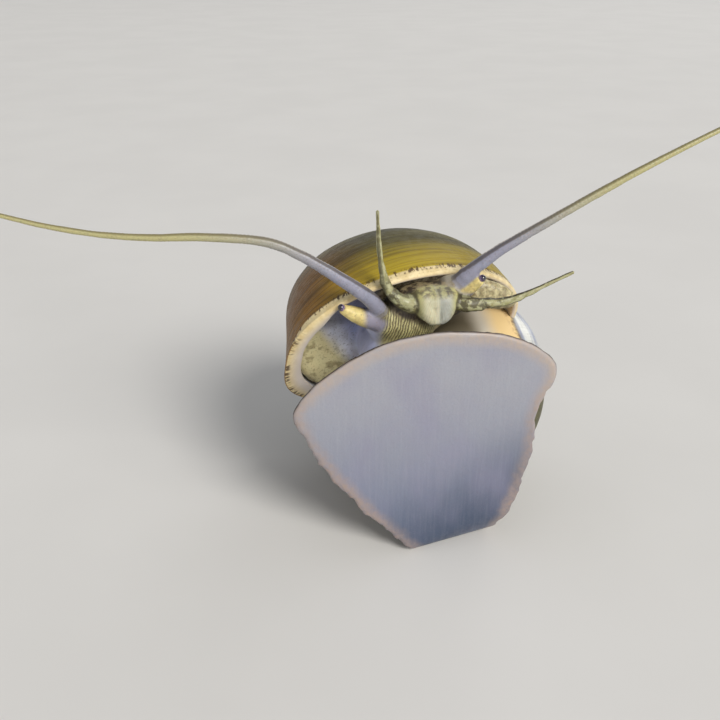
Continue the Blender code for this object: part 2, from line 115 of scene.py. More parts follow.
# Feelers: (x, y, z, radius) along each middle line, root to tip.
TENTACLE_LEFT = [(-14.6, -3.6, 46.3, 1.5), (-16.4, -5.2, 49.3, 1.35), (-18.3, -6.6, 51.7, 1.27),
                 (-22.4, -7.4, 55.1, 1.08), (-28.6, -7.5, 59.3, 0.85), (-34.4, -7.5, 61.8, 0.77),
                 (-43.7, -7.4, 62.8, 0.65), (-51.2, -7.1, 62.9, 0.56), (-58.6, -6.6, 63.5, 0.48),
                 (-65.8, -6.1, 64.8, 0.42), (-71.3, -5.6, 66.2, 0.37), (-77.6, -5.0, 68.0, 0.30),
                 (-83.5, -4.3, 69.3, 0.20)]
TENTACLE_RIGHT = [(-3.8, -2.9, 50.5, 1.45), (-1.8, -3.7, 52.8, 1.38), (-0.5, -4.2, 54.3, 1.28),
                  (4.1, -4.6, 57.9, 0.96), (11.9, -5.0, 62.7, 0.76), (19.6, -5.0, 67.1, 0.66),
                  (27.2, -5.0, 71.2, 0.55), (36.4, -4.6, 75.6, 0.46), (44.2, -4.0, 78.8, 0.36),
                  (51.5, -3.3, 81.2, 0.20)]
PALP_LEFT = [(-9.6, -5.2, 49.4, 1.45), (-11.4, -5.9, 49.8, 1.35), (-13.1, -5.7, 50.6, 1.2),
             (-14.7, -5.5, 52.6, 0.85), (-15.6, -5.6, 56.2, 0.52), (-16.1, -5.6, 60.5, 0.39),
             (-16.3, -5.4, 65.3, 0.25)]
PALP_RIGHT = [(-3.4, -5.3, 49.2, 1.4), (-1.0, -6.0, 49.1, 1.3), (1.9, -5.8, 49.0, 1.0),
              (5.5, -5.4, 49.1, 0.76), (8.8, -5.2, 50.0, 0.52), (12.6, -5.0, 51.7, 0.39),
              (16.8, -4.8, 53.5, 0.25)]
FEELERS = [("feeler", TENTACLE_LEFT), ("feeler", TENTACLE_RIGHT), ("palp", PALP_LEFT), ("palp", PALP_RIGHT)]

# By kind: the length of a feeler that the skin's grid holds, how softly it joins and how lumpy it is.
FEELER_SKIN = {"feeler": 8.0, "palp": 5.0}
FEELER_JOIN = {"feeler": 0.8, "palp": 0.4}
FEELER_LUMPS = {"feeler": 0.05, "palp": 0.24}
FEELER_SIDES = 40
FEELER_SPACING = 0.16
FEELER_SEED = 50

# Eyes on their stalks, and the siphon's lobe with its arcs.
EYE_RADIUS = 0.62
EYE_SOCKET = 0.93 * EYE_RADIUS
EYE_LEFT = (-22.2, -6.1, 49.55)
EYE_RIGHT = (1.15, -5.5, 53.4)
STALK_LEFT = [(-14.8, -3.4, 45.7, 1.9), (-17.6, -4.6, 46.6, 1.6), (-19.8, -5.4, 47.9, 1.35),
              (-21.6, -5.8, 49.0, 0.95)]
STALK_RIGHT = [(-3.4, -3.0, 48.6, 1.6), (-1.9, -3.8, 50.0, 1.3), (-0.5, -4.5, 51.4, 1.1),
               (0.7, -5.2, 52.8, 0.85)]
SIPHON = ((3.8, 1.3, 47.8), (6.1, 1.5, 2.5))
SIPHON_TILT_DEG = 18.0
SIPHON_ARCS_X = -1.0
SIPHON_ARCS_Z = 49.0
SIPHON_ARC_PITCH = 1.15

# Lid behind the raised foot.
LID_CENTRE = (-6.0, -3.75, 15.8)
LID_HALF_LENGTH = 12.6
LID_HALF_WIDTH = 9.4
LID_THICK = 0.9
LID_LEAN = 0.09
LID_TURN_DEG = 14.0
LID_SIDES = 160
LID_RINGS = 60

# Mantle: the soft collar that fills the shell behind its lip.
MANTLE_FRONT_DEG = -11.0
MANTLE_BACK_DEG = -40.0

# Details that only the material draws: creases on the neck and on the snout, and a level bump.
NECK_CREASE_PITCH = 0.46
CREASES_FROM_Z = 53.4
LEVEL = (0.5, 0.5, 0.5, 1.0)

# Grid that the skin is drawn from, and the boxes that its large pieces are drawn in.
STEP = 0.2
GRID_LOW = np.array((-32.6, -10.0, -0.9))
GRID_HIGH = np.array((16.2, 12.6, 58.5))
FOOT_BOX = ((-33, -10, -1), (17, 9, 47.5))
MANTLE_BOX = ((-33, -8, 18), (14, 13, 57))
MOUTH_BOX = ((-8, -10, 44), (-5, -6, 52))
FOOT_TOP_Z = 46.2

# Camera of the photograph.
CAMERA_AT = (-33.42, -131.43, 104.08)
CAMERA_TURN_DEG = -6.5
CAMERA_DOWN_DEG = 27.0
CAMERA_LENS = 42.0
SENSOR_WIDTH = 36.0

# Stage and light, in metres; colours are linear.
BACKDROP_COLOUR = (0.60, 0.60, 0.595, 1.0)
OVERHEAD_COLOUR = (0.36, 0.37, 0.39, 1.0)
FLOOR_HALF = 40.0
FLOOR_BELOW = 0.00005

# Lights: name, kind, place, size (of the disk, or the sun's angle), power and colour.
LIGHT_TARGET = (-0.005, 0.0, 0.035)
LIGHTS = [("key", "SUN", (0.30, -0.62, 0.58), math.radians(22.0), 2.3, (1.0, 0.975, 0.94)),
          ("window", "AREA", (0.9, -1.2, 0.75), 0.9, 6.5, (1.0, 0.98, 0.95)),
          ("rim", "AREA", (0.9, 1.3, 1.2), 1.0, 3.0, (0.95, 0.97, 1.0))]


# Small numeric helpers.

def smooth_step(value, low, high):
    t = np.clip((value - low) / (high - low), 0.0, 1.0)
    return t * t * (3.0 - 2.0 * t)


def smooth_min(a, b, soft):
    near = np.maximum(soft - np.abs(a - b), 0.0) / soft
    return np.minimum(a, b) - near * near * soft * 0.25


def smooth_max(a, b, soft):
    return -smooth_min(-a, -b, soft)


def value_noise(points, scale, seed):
    """Smooth noise from -1 to 1 at points in millimetres."""
    place = points / scale
    cell = np.floor(place).astype(np.int64)
    part = place - cell
    part = part * part * (3.0 - 2.0 * part)
    total = np.zeros(len(points))
    for corner in product((0, 1), repeat=3):
        key = cell + np.array(corner)
        mixed = key[:, 0] * 73856093 ^ key[:, 1] * 19349663 ^ key[:, 2] * 83492791 ^ (seed * 2654435761)
        mixed = (mixed ^ (mixed >> 13)) * 1274126177
        mixed = (mixed ^ (mixed >> 16)) & 0xFFFF
        weight = np.ones(len(points))
        for axis in range(3):
            weight = weight * (part[:, axis] if corner[axis] else 1.0 - part[:, axis])
        total += weight * (mixed / 32767.5 - 1.0)
    return total


def layered_noise(points, scale, seed, layers=3):
    total = np.zeros(len(points))
    for k in range(layers):
        total += value_noise(points, scale / 2.0 ** k, seed + 17 * k) / 2.0 ** k
    return total


def curve_points(stations, steps):
    """Smooth curve through stations of any dimension, with the same number of steps in each span."""
    rows = [np.array(s, dtype=float) for s in stations]
    last = len(rows) - 1
    result = []
    for k in range(last):
        a, b, c, d = rows[max(k - 1, 0)], rows[k], rows[k + 1], rows[min(k + 2, last)]
        for step in range(steps):
            t = step / steps
            result.append(0.5 * (2 * b + (c - a) * t + (2 * a - 5 * b + 4 * c - d) * t * t
                                 + (3 * b - a - 3 * c + d) * t ** 3))
    result.append(rows[last])
    return np.array(result)


def run_lengths(line):
    steps = np.linalg.norm(np.diff(line[:, :3], axis=0), axis=1)
    return np.concatenate(([0.0], np.cumsum(steps)))


def resample(stations, spacing):
    line = curve_points(stations, 12)
    run = run_lengths(line)
    wanted = np.linspace(0.0, run[-1], max(int(run[-1] / spacing), 2) + 1)
    return np.stack([np.interp(wanted, run, line[:, k]) for k in range(4)], axis=1), wanted


# Distance fields of the soft body.

class Field:
    """Signed distances on a grid; pieces are blended in over their own boxes."""

    def __init__(self, low, high, step):
        self.low = low
        self.step = step
        self.count = np.ceil((high - low) / step).astype(int) + 1
        self.values = np.full(self.count, 9.0, dtype=np.float32)

    def part(self, low, high):
        first = np.clip(np.floor((np.array(low) - self.low) / self.step).astype(int), 0, self.count - 1)
        last = np.clip(np.ceil((np.array(high) - self.low) / self.step).astype(int) + 1, 1, self.count)
        last = np.maximum(last, first + 1)
        cut = tuple(slice(a, b) for a, b in zip(first, last))
        axes = [self.low[k] + self.step * np.arange(first[k], last[k]) for k in range(3)]
        grid = np.meshgrid(*axes, indexing="ij")
        return cut, np.stack([g.ravel() for g in grid], axis=1), grid[0].shape

    def blend(self, low, high, distance, soft, join=smooth_min):
        cut, points, shape = self.part(low, high)
        self.values[cut] = join(self.values[cut], distance(points).reshape(shape), soft)


def ellipsoid_distance(points, centre, radii, turn=None):
    local = points - np.array(centre)
    if turn is not None:
        local = local @ turn
    radii = np.array(radii)
    near = np.linalg.norm(local / radii, axis=1)
    steep = np.linalg.norm(local / (radii * radii), axis=1)
    return near * (near - 1.0) / np.maximum(steep, 1e-6)


def limb_distance(points, line):
    """Distance to a round limb given as resampled rows (x, y, z, radius)."""
    best = np.full(len(points), 99.0)
    for a, b in zip(line, line[1:]):
        ab = b[:3] - a[:3]
        t = np.clip(((points - a[:3]) @ ab) / (ab @ ab), 0.0, 1.0)
        gap = np.linalg.norm(points - a[:3] - t[:, None] * ab, axis=1) - (a[3] + (b[3] - a[3]) * t)
        best = np.minimum(best, gap)
    return best


def box_round(line, margin):
    reach = line[:, 3].max() + margin
    return line[:, :3].min(axis=0) - reach, line[:, :3].max(axis=0) + reach


# The foot, worked out flat and bent into place.

def foot_outline():
    edge = [(u, s) for s, u in FOOT_LEFT] + [(u, s) for s, u in reversed(FOOT_RIGHT)]
    edge = np.array(edge + edge[:3], dtype=float)
    rows = np.column_stack([edge, np.zeros((len(edge), 2))])
    line = curve_points(rows, 6)[:, :2]
    return line[6:-12]


class FootMap:
    """Distance from the foot's edge, looked up on a fine flat table."""

    def __init__(self):
        self.low = np.array((-24.0, -16.0))
        self.step = 0.2
        count = (260, 326)
        us = self.low[0] + self.step * np.arange(count[0])
        ss = self.low[1] + self.step * np.arange(count[1])
        grid = np.stack(np.meshgrid(us, ss, indexing="ij"), axis=-1).reshape(-1, 2)
        line = foot_outline()
        best = np.full(len(grid), 1e9)
        inside = np.zeros(len(grid), dtype=bool)
        for a, b in zip(line, np.roll(line, -1, axis=0)):
            ab = b - a
            length = ab @ ab
            if length < 1e-9:
                continue
            t = np.clip(((grid - a) @ ab) / length, 0.0, 1.0)
            best = np.minimum(best, np.linalg.norm(grid - a - t[:, None] * ab, axis=1))
            crosses = (a[1] > grid[:, 1]) != (b[1] > grid[:, 1])
            side = a[0] + (grid[:, 1] - a[1]) * ab[0] / (ab[1] if abs(ab[1]) > 1e-9 else 1e-9)
            inside ^= crosses & (grid[:, 0] < side)
        wave = np.column_stack([grid, np.zeros(len(grid))])
        frill = 0.24 * value_noise(wave, 2.1, 5) + 0.24 * value_noise(wave, 0.95, 9)
        calm = smooth_step(grid[:, 1], -2.0, 3.0) * (1.0 - 0.85 * smooth_step(grid[:, 1], 31.0, 38.0))
        distance = np.where(inside, best, -best) + (frill - 0.15) * calm
        self.table = distance.reshape(count)

    def inward(self, u, s):
        x = np.clip((u - self.low[0]) / self.step, 0.0, self.table.shape[0] - 1.001)
        y = np.clip((s - self.low[1]) / self.step, 0.0, self.table.shape[1] - 1.001)
        i, j = x.astype(int), y.astype(int)
        fx, fy = x - i, y - j
        t = self.table
        return ((t[i, j] * (1 - fx) + t[i + 1, j] * fx) * (1 - fy)
                + (t[i, j + 1] * (1 - fx) + t[i + 1, j + 1] * fx) * fy)


def unbend(points):
    """Flat foot coordinates of places in space: across, along and height over the sole."""
    u = points[:, 0] - FOOT_X
    y = points[:, 1] - SOLE_Y
    z = points[:, 2]
    radius = BEND_RADIUS_LEFT + BEND_RADIUS_STEP * np.clip(u, 0.0, 18.0)
    dy, dz = radius - y, radius - z
    turn = np.arctan2(np.maximum(dz, 0.0), np.maximum(dy, 1e-6))
    in_bend = (dy > 0.0) & (dz > 0.0)
    raised = ~in_bend & (dz <= 0.0)
    along = np.where(raised, z, np.where(in_bend, radius * (1.0 - turn), radius * (1.0 - math.pi / 2) + dy))
    height = np.where(raised, y, np.where(in_bend, radius - np.hypot(dy, dz), z))
    return u, along, height, radius


def foot_thickness(u, along, inward, radius):
    body = FOOT_THICK_LOW + (FOOT_THICK_FRONT - FOOT_THICK_LOW) * smooth_step(along, 29.0, 36.0)
    body = body - TAIL_THINNER * smooth_step(-along, -3.0, 8.0)
    thick = MARGIN_THICK + (body - MARGIN_THICK) * smooth_step(inward, 0.0, MARGIN_WIDE)
    return np.minimum(thick, 0.72 * radius + 0.5 * np.maximum(0.0, along))


def foot_distance(points, foot):
    u, along, height, radius = unbend(points)
    inward = foot.inward(u, along)
    thick = foot_thickness(u, along, inward, radius)
    slab = np.abs(height - thick * 0.5) - thick * 0.5
    return smooth_max(slab, -inward, 0.9)


# The shell, from its generating oval.

def shell_axes():
    back = math.radians(SHELL_TURN_BACK_DEG)
    roll = math.radians(SHELL_ROLL_FORWARD_DEG)
    axis = np.array((math.cos(back), math.sin(back), 0.0))
    up = np.array((0.0, 0.0, 1.0))
    lip = up * math.cos(roll) + np.cross(axis, up) * math.sin(roll)
    return lip, np.cross(axis, lip), axis


def oval(v, growth, inset=0.0):
    """Distance from the axis and height along it, for places v on the oval."""
    reach = np.cos(v)
    reach = np.where(reach < 0.0, -np.abs(reach) ** OVAL_INNER_FULLNESS, reach)
    across = OVAL_ACROSS * growth - inset
    along = OVAL_ALONG * growth - inset
    radius = OVAL_FROM_AXIS * growth + across * reach + OVAL_LEAN * growth * np.sin(v)
    height = -OVAL_BELOW_APEX * growth + along * np.sin(v)
    return np.maximum(radius, 0.3 * growth), height


def shell_place(turn_deg, radius, height):
    lip, opening, axis = shell_axes()
    angle = np.radians(turn_deg)[..., None]
    return (SHELL_APEX + radius[..., None] * (lip * np.cos(angle) + opening * np.sin(angle))
            + height[..., None] * axis)


def shell_coordinates(points):
    """Angle in degrees from the lip (-180 to 180), distance from the axis and height along it."""
    lip, opening, axis = shell_axes()
    local = points - SHELL_APEX
    across = local @ lip
    forward = local @ opening
    return np.degrees(np.arctan2(forward, across)), np.hypot(across, forward), local @ axis


def oval_distance(radius, height, growth, inset=0.0):
    """Rough signed distance from the oval in its own plane; the inner side is drawn fuller."""
    centre = OVAL_FROM_AXIS * growth
    flat = (height + OVAL_BELOW_APEX * growth) / (OVAL_ALONG * growth - inset)
    shift = centre + OVAL_LEAN * growth * np.clip(flat, -1.0, 1.0)
    reach = (radius - shift) / (OVAL_ACROSS * growth - inset)
    inner = reach < 0.0
    reach = np.where(inner, -np.abs(reach) ** (1.0 / OVAL_INNER_FULLNESS), reach)
    size = np.hypot(reach, flat)
    return (size - 1.0) * OVAL_ACROSS * growth


def mantle_distance(points):
    turn, radius, height = shell_coordinates(points)
    growth = WHORL_GROWTH ** (turn / 360.0)
    inner = oval_distance(radius, height, growth, SHELL_WALL + 0.35)
    older = oval_distance(radius, height, growth / WHORL_GROWTH) - 0.35
    wave = 0.5 * value_noise(points, 6.0, 31)
    face = np.radians(turn - MANTLE_FRONT_DEG) * radius + wave + 0.12 * inner
    deep = -np.radians(turn - MANTLE_BACK_DEG) * radius
    found = smooth_max(smooth_max(inner, -older, 0.6), face, 2.4)
    return np.maximum(found, np.maximum(deep, 1.0 - radius))


def limb_root(stations, length):
    """First part of a feeler for the skin's grid, drawn in at its end so that its tube takes over."""
    line, run = resample(stations, 0.5)
    keep = run < length + 1.5
    root = line[keep].copy()
    root[:, 3] *= 1.0 - 0.45 * smooth_step(run[keep], length - 0.6, length + 1.5)
    return root


def head_pieces():
    """Every rounded form of head and neck: name, distance function, box and softness of its join."""
    pieces = []

    def lump(name, centre, radii, soft, turn=None):
        reach = max(radii) + soft + 1.0
        low = np.array(centre) - reach
        high = np.array(centre) + reach
        pieces.append((name, lambda p: ellipsoid_distance(p, centre, radii, turn), low, high, soft))

    def limb(name, line, soft, behind_sole=False):
        low, high = box_round(line, soft + 1.0)

        def distance(p):
            found = limb_distance(p, line)
            return np.maximum(found, SOLE_Y + 1.6 - p[:, 1]) if behind_sole else found

        pieces.append((name, distance, low, high, soft))

    lump("neck", *NECK_TOP, 1.2)
    limb("neck", resample(NECK_STALK, 1.0)[0], 1.6, True)
    limb("neck", resample(NECK_BACK, 1.0)[0], 1.6)
    lump("head", *HEAD, 0.9)
    lump("head", *HEAD_TOP, 1.0)
    lump("snout", *SNOUT, 0.8)
    for side in (-1, 1):
        lobe = [(MOUTH_X + side * spread, y, z, radius) for spread, y, z, radius in SNOUT_LOBE]
        limb("snout", resample(lobe, 0.5)[0], 0.4)
    limb("snout", resample(SNOUT_RIDGE, 0.4)[0], 0.7)
    for stations in (STALK_LEFT, STALK_RIGHT):
        limb("stalk", resample(stations, 0.5)[0], 0.9)
    for kind, stations in reversed(FEELERS):
        limb(kind, limb_root(stations, FEELER_SKIN[kind]), FEELER_JOIN[kind])
    turn = np.array(Euler((0.0, math.radians(SIPHON_TILT_DEG), 0.0)).to_matrix())
    lump("siphon", *SIPHON, 0.5, turn)
    return pieces


def draw_surface(field):
    """Closed surface where the field is zero: one vertex in each crossed cell, joined by quads."""
    values = field.values
    for axis in range(3):
        side = np.moveaxis(values, axis, 0)
        side[[0, -1]] = np.maximum(side[[0, -1]], 0.05)
    inside = values < 0.0
    shape = np.array(values.shape) - 1
    corners = list(product((0, 1), repeat=3))
    count = sum(inside[tuple(slice(k, k + n) for k, n in zip(c, shape))].astype(np.int8) for c in corners)
    cells = np.argwhere((count > 0) & (count < 8))
    index = np.full(shape, -1, dtype=np.int64)
    index[tuple(cells.T)] = np.arange(len(cells))
    corner_values = {c: values[tuple((cells + np.array(c)).T)].astype(float) for c in corners}
    total = np.zeros((len(cells), 3))
    hits = np.zeros(len(cells))
    for c, axis in product(corners, range(3)):
        if c[axis]:
            continue
        a, b = corner_values[c], corner_values[c[:axis] + (1,) + c[axis + 1:]]
        crossed = (a < 0) != (b < 0)
        place = np.zeros((len(cells), 3)) + c
        place[:, axis] += np.where(crossed, a / np.where(crossed, a - b, 1.0), 0.0)
        total += place * crossed[:, None]
        hits += crossed
    points = field.low + field.step * (cells + total / hits[:, None])

    # One quad round each grid edge that leaves or enters the body.
    quads = []
    for axis in range(3):
        change = np.diff(inside.astype(np.int8), axis=axis)
        found = np.argwhere(change)
        leaves = change[tuple(found.T)] < 0
        one, two = [k for k in range(3) if k != axis]
        ring = []
        for da, db in ((1, 1), (0, 1), (0, 0), (1, 0)):
            cell = found.copy()
            cell[:, one] -= da
            cell[:, two] -= db
            ring.append(index[tuple(cell.T)])
        quad = np.stack(ring, axis=1)
        turned = leaves == (axis == 1)
        quad[turned] = quad[turned][:, ::-1]
        quads.append(quad)
    return points, np.concatenate(quads)


def relax(points, quads, rounds, strength):
    """Even out the surface by moving each vertex towards the mean of its neighbours."""
    a = quads.ravel()
    b = np.roll(quads, -1, axis=1).ravel()
    for _ in range(rounds):
        for amount in (strength, -strength * 1.04):
            total = np.zeros_like(points)
            number = np.zeros(len(points))
            for first, second in ((a, b), (b, a)):
                for k in range(3):
                    total[:, k] += np.bincount(first, points[second, k], len(points))
                number += np.bincount(first, minlength=len(points))
            points = points + amount * (total / number[:, None] - points)
    return points


def vertex_normals(points, quads):
    normal = np.cross(points[quads[:, 2]] - points[quads[:, 0]], points[quads[:, 3]] - points[quads[:, 1]])
    total = np.zeros_like(points)
    for corner in range(4):
        for k in range(3):
            total[:, k] += np.bincount(quads[:, corner], normal[:, k], len(points))
    return total / np.maximum(np.linalg.norm(total, axis=1), 1e-12)[:, None]


# Feelers as fine tubes that start inside the skin.

def side_frames(line):
    """Tangent, dorsal side and cross direction at each row of a limb."""
    tangent = np.gradient(line[:, :3], axis=0)
    tangent /= np.linalg.norm(tangent, axis=1)[:, None]
    up = np.array((0.0, 0.25, 1.0))
    dorsal = up - tangent * (tangent @ up)[:, None]
    dorsal /= np.linalg.norm(dorsal, axis=1)[:, None]
    return tangent, dorsal, np.cross(tangent, dorsal)


def feeler_tube(kind, stations, seed):
    """Points, quads and end triangles of a feeler, its share of the length and its dorsal side."""
    sides = FEELER_SIDES
    skin_length = FEELER_SKIN[kind]
    line, run = resample(stations, FEELER_SPACING)
    tangent, dorsal, other = side_frames(line)
    tip = line[-1, :3] + tangent[-1] * line[-1, 3] * 0.9
    start = int(np.searchsorted(run, skin_length - 2.6))
    line, dorsal, other = line[start:], dorsal[start:, None, :], other[start:, None, :]
    far = run[start:] / run[-1]
    run = run[start:]
    rows = len(line)
    angle = TAU * np.arange(sides) / sides
    radius = line[:, 3] * (0.8 + 0.2 * smooth_step(run, skin_length - 2.4, skin_length - 0.4))
    centre = line[:, None, :3]
    ring = dorsal * np.cos(angle)[None, :, None] + other * np.sin(angle)[None, :, None]
    round_place = (centre + ring * radius[:, None, None]).reshape(-1, 3)
    crease = 0.5 + 0.5 * np.sin(run * TAU / 0.62 + 1.3 * np.sin(run * 0.9))
    rough = value_noise(round_place, 0.9, seed).reshape(rows, sides)
    swell = 1.0 - 0.035 * (1.0 - crease[:, None]) * (1.0 + rough) * smooth_step(far, 0.03, 0.12)[:, None]
    swell += FEELER_LUMPS[kind] * value_noise(round_place, 1.3, seed + 9).reshape(rows, sides)
    points = centre + ring * (radius[:, None] * swell)[:, :, None]
    ids = np.arange(rows * sides).reshape(rows, sides)
    nxt = np.roll(ids, -1, axis=1)
    quads = np.stack([ids[:-1], nxt[:-1], nxt[1:], ids[1:]], axis=-1).reshape(-1, 4)
    fans = np.stack([ids[-1], nxt[-1], np.full(sides, rows * sides)], axis=1)
    along = np.append(np.repeat(far, sides), 1.0)
    around = np.append(np.tile(np.cos(angle), rows), 0.0)
    return np.vstack([points.reshape(-1, 3), tip]), quads, fans, along, around


def feeler_place(points, stations):
    """Share of the length and dorsal side (1 top, -1 below) of skin points near a feeler."""
    line, run = resample(stations, 0.8)
    _, dorsal, _ = side_frames(line)
    best = np.full(len(points), 1e9)
    along = np.zeros(len(points))
    around = np.zeros(len(points))
    for k in range(min(len(line), 22)):
        offset = points - line[k, :3]
        size = np.linalg.norm(offset, axis=1)
        closer = size < best
        best[closer] = size[closer]
        along[closer] = run[k] / run[-1]
        around[closer] = (offset[closer] @ dorsal[k]) / np.maximum(size[closer], 1e-6)
    return along, around, best


# Meshes and their attributes.

def new_mesh(name, points, quads, fans):
    """Smooth mesh object from points in millimetres, quads and triangles."""
    mesh = bpy.data.meshes.new(name)
    mesh.vertices.add(len(points))
    mesh.vertices.foreach_set("co", (points * MM).astype(np.float32).ravel())
    mesh.loops.add(quads.size + fans.size)
    mesh.loops.foreach_set("vertex_index", np.append(quads, fans).astype(np.int32))
    starts = np.append(np.arange(len(quads)) * 4, quads.size + np.arange(len(fans)) * 3)
    mesh.polygons.add(len(starts))
    mesh.polygons.foreach_set("loop_start", starts.astype(np.int32))
    mesh.update(calc_edges=True)
    mesh.validate()
    mesh.polygons.foreach_set("use_smooth", np.ones(len(mesh.polygons), dtype=bool))
    mesh.update()
    made = bpy.data.objects.new(name, mesh)
    bpy.context.scene.collection.objects.link(made)
    return made


def set_values(piece, values):
    """Store numbers or vectors on the vertices, by name, for the materials to read."""
    for name, value in values.items():
        kind, key = ("FLOAT", "value") if value.ndim == 1 else ("FLOAT_VECTOR", "vector")
        store = piece.data.attributes.new(name, kind, "POINT")
        store.data.foreach_set(key, value.astype(np.float32).ravel())


def close_rings(rows, sides):
    """Quads between closed rings of vertices, and triangles to an end point before and after them."""
    ids = np.arange(rows * sides).reshape(rows, sides)
    nxt = np.roll(ids, -1, axis=1)
    quads = np.stack([ids[:-1], ids[1:], nxt[1:], nxt[:-1]], axis=-1).reshape(-1, 4)
    first = np.stack([ids[0], nxt[0], np.full(sides, ids.size)], axis=1)
    last = np.stack([nxt[-1], ids[-1], np.full(sides, ids.size + 1)], axis=1)
    return quads, np.vstack([first, last])


def unit_ball(rows, sides):
    """Points of a ball of radius 1 in rings from top to bottom, then its poles, with quads and triangles."""
    lat = math.pi * np.arange(1, rows) / rows
    lon = TAU * np.arange(sides) / sides
    lat, lon = [g.ravel() for g in np.meshgrid(lat, lon, indexing="ij")]
    points = np.stack([np.sin(lat) * np.cos(lon), np.sin(lat) * np.sin(lon), np.cos(lat)], axis=1)
    return (np.vstack([points, (0.0, 0.0, 1.0), (0.0, 0.0, -1.0)]), *close_rings(rows - 1, sides))


def draw_skin(foot, pieces):
    """The seamless body: foot, head and mantle blended, with the mouth and the eye sockets cut in."""
    field = Field(GRID_LOW, GRID_HIGH, STEP)
    field.blend(*FOOT_BOX, lambda p: foot_distance(p, foot), 0.01)
    for _, distance, low, high, soft in pieces:
        field.blend(low, high, distance, soft)
    field.blend(*MANTLE_BOX, mantle_distance, 1.5)
    field.blend(*MOUTH_BOX, lambda p: -ellipsoid_distance(p, *MOUTH_SLIT), 0.25, smooth_max)
    for eye in (EYE_LEFT, EYE_RIGHT):
        field.blend(np.array(eye) - 1.2, np.array(eye) + 1.2,
                    lambda p, e=eye: -ellipsoid_distance(p, e, (EYE_SOCKET,) * 3), 0.15, smooth_max)
    points, quads = draw_surface(field)
    return relax(points, quads, 2, 0.5), quads


def near_pieces(points, pieces):
    """Distance from each vertex to the nearest form of each name."""
    near = {}
    for name, distance, low, high, _ in pieces:
        found = np.full(len(points), 9.0)
        inside = np.all((points > low) & (points < high), axis=1)
        found[inside] = distance(points[inside])
        near[name] = np.minimum(near.get(name, 9.0), found)
    return near


def build_skin():
    foot = FootMap()
    pieces = head_pieces()
    points, quads = draw_skin(foot, pieces)
    near = near_pieces(points, pieces)
    u, along, height, radius = unbend(points)
    inward = foot.inward(u, along)
    thick = foot_thickness(u, along, inward, radius)
    flesh = np.minimum.reduce([near[n] for n in ("neck", "head", "snout", "stalk", "palp", "siphon")])
    on_foot = smooth_step(flesh, 0.1, 0.8) * (points[:, 2] < FOOT_TOP_Z) * (height < thick + 0.6)
    sole = on_foot * (1.0 - smooth_step(height, 0.25, 0.7))

    # Fine relief: soft folds on the body, faint fibres on the sole, arcs on the siphon, lumps on the palps.
    wrinkle = layered_noise(points * np.array((1.0, 1.0, 0.7)), 1.4, 11)
    relief = -0.10 * np.abs(wrinkle) * (1.0 - sole) * smooth_step(points[:, 2], 0.6, 2.0)
    fibre = value_noise(np.column_stack([u * 1.5, along * 0.12, 0 * u]), 1.0, 21)
    relief += 0.004 * fibre * sole * smooth_step(points[:, 2], 0.4, 2.0)
    fan_run = np.hypot(points[:, 0] - SIPHON_ARCS_X, points[:, 2] - SIPHON_ARCS_Z)
    on_fan = 1.0 - smooth_step(near["siphon"], 0.05, 0.5)
    relief += 0.03 * on_fan * np.sin(fan_run * TAU / SIPHON_ARC_PITCH + 0.8 * wrinkle)
    on_palp = 1.0 - smooth_step(near["palp"], 0.05, 0.4)
    relief += 0.16 * on_palp * value_noise(points, 1.3, 61)
    points = points + vertex_normals(points, quads) * relief[:, None]
    points[:, 2] = np.maximum(points[:, 2], 0.0)

    # Zones for the material, each from 0 to 1.
    front = smooth_step(along, 24.0, 33.0)
    zones = {
        "sole": sole,
        "rim": on_foot * (1.0 - smooth_step(inward, 0.9, 3.2)) * (1.0 - smooth_step(height, 0.7, 1.3)),
        "edge": (on_foot * smooth_step(height, 0.5 - 0.35 * front, 0.85 - 0.35 * front)
                 * (1.0 - smooth_step(inward, 0.3, 1.6))),
        "mantle": (1.0 - smooth_step(np.abs(mantle_distance(points)), 0.4, 1.2)) * (flesh > 0.3),
        # fold: painted shade in the crease where a palp meets the snout.
        "fold": ((1.0 - smooth_step(np.abs(near["palp"] - near["snout"]), 0.1, 0.55))
                 * (1.0 - smooth_step(near["palp"] + near["snout"], 0.3, 1.2))),
        "feeler": 1.0 - smooth_step(near["feeler"], 0.1, 0.6),
    }
    for name, wide in (("snout", 0.5), ("head", 0.9), ("neck", 1.2), ("stalk", 0.5), ("palp", 0.45),
                       ("siphon", 0.5)):
        zones[name] = 1.0 - smooth_step(near[name], 0.05, wide)
    share, side, best = np.zeros(len(points)), np.zeros(len(points)), np.full(len(points), 1e9)
    for _, stations in FEELERS:
        a, b, d = feeler_place(points, stations)
        closer = d < best
        share[closer], side[closer], best[closer] = a[closer], b[closer], d[closer]
    zones.update({"share": share, "side": side, "flow": np.column_stack([u, along, height])})

    # The feelers go on as tubes in the same mesh.
    parts = [(points, quads, np.empty((0, 3), dtype=int), zones)]
    offset = len(points)
    for k, (kind, stations) in enumerate(FEELERS):
        tube, tube_quads, fans, far, around = feeler_tube(kind, stations, FEELER_SEED + k)
        marks = {name: np.zeros(len(tube)) for name in zones}
        marks.update({kind: np.ones(len(tube)), "share": far, "side": around, "flow": tube})
        parts.append((tube, tube_quads + offset, fans + offset, marks))
        offset += len(tube)
    skin = new_mesh("snail_skin", *(np.vstack([part[k] for part in parts]) for k in range(3)))
    set_values(skin, {name: np.concatenate([part[3][name] for part in parts]) for name in zones})
    return skin


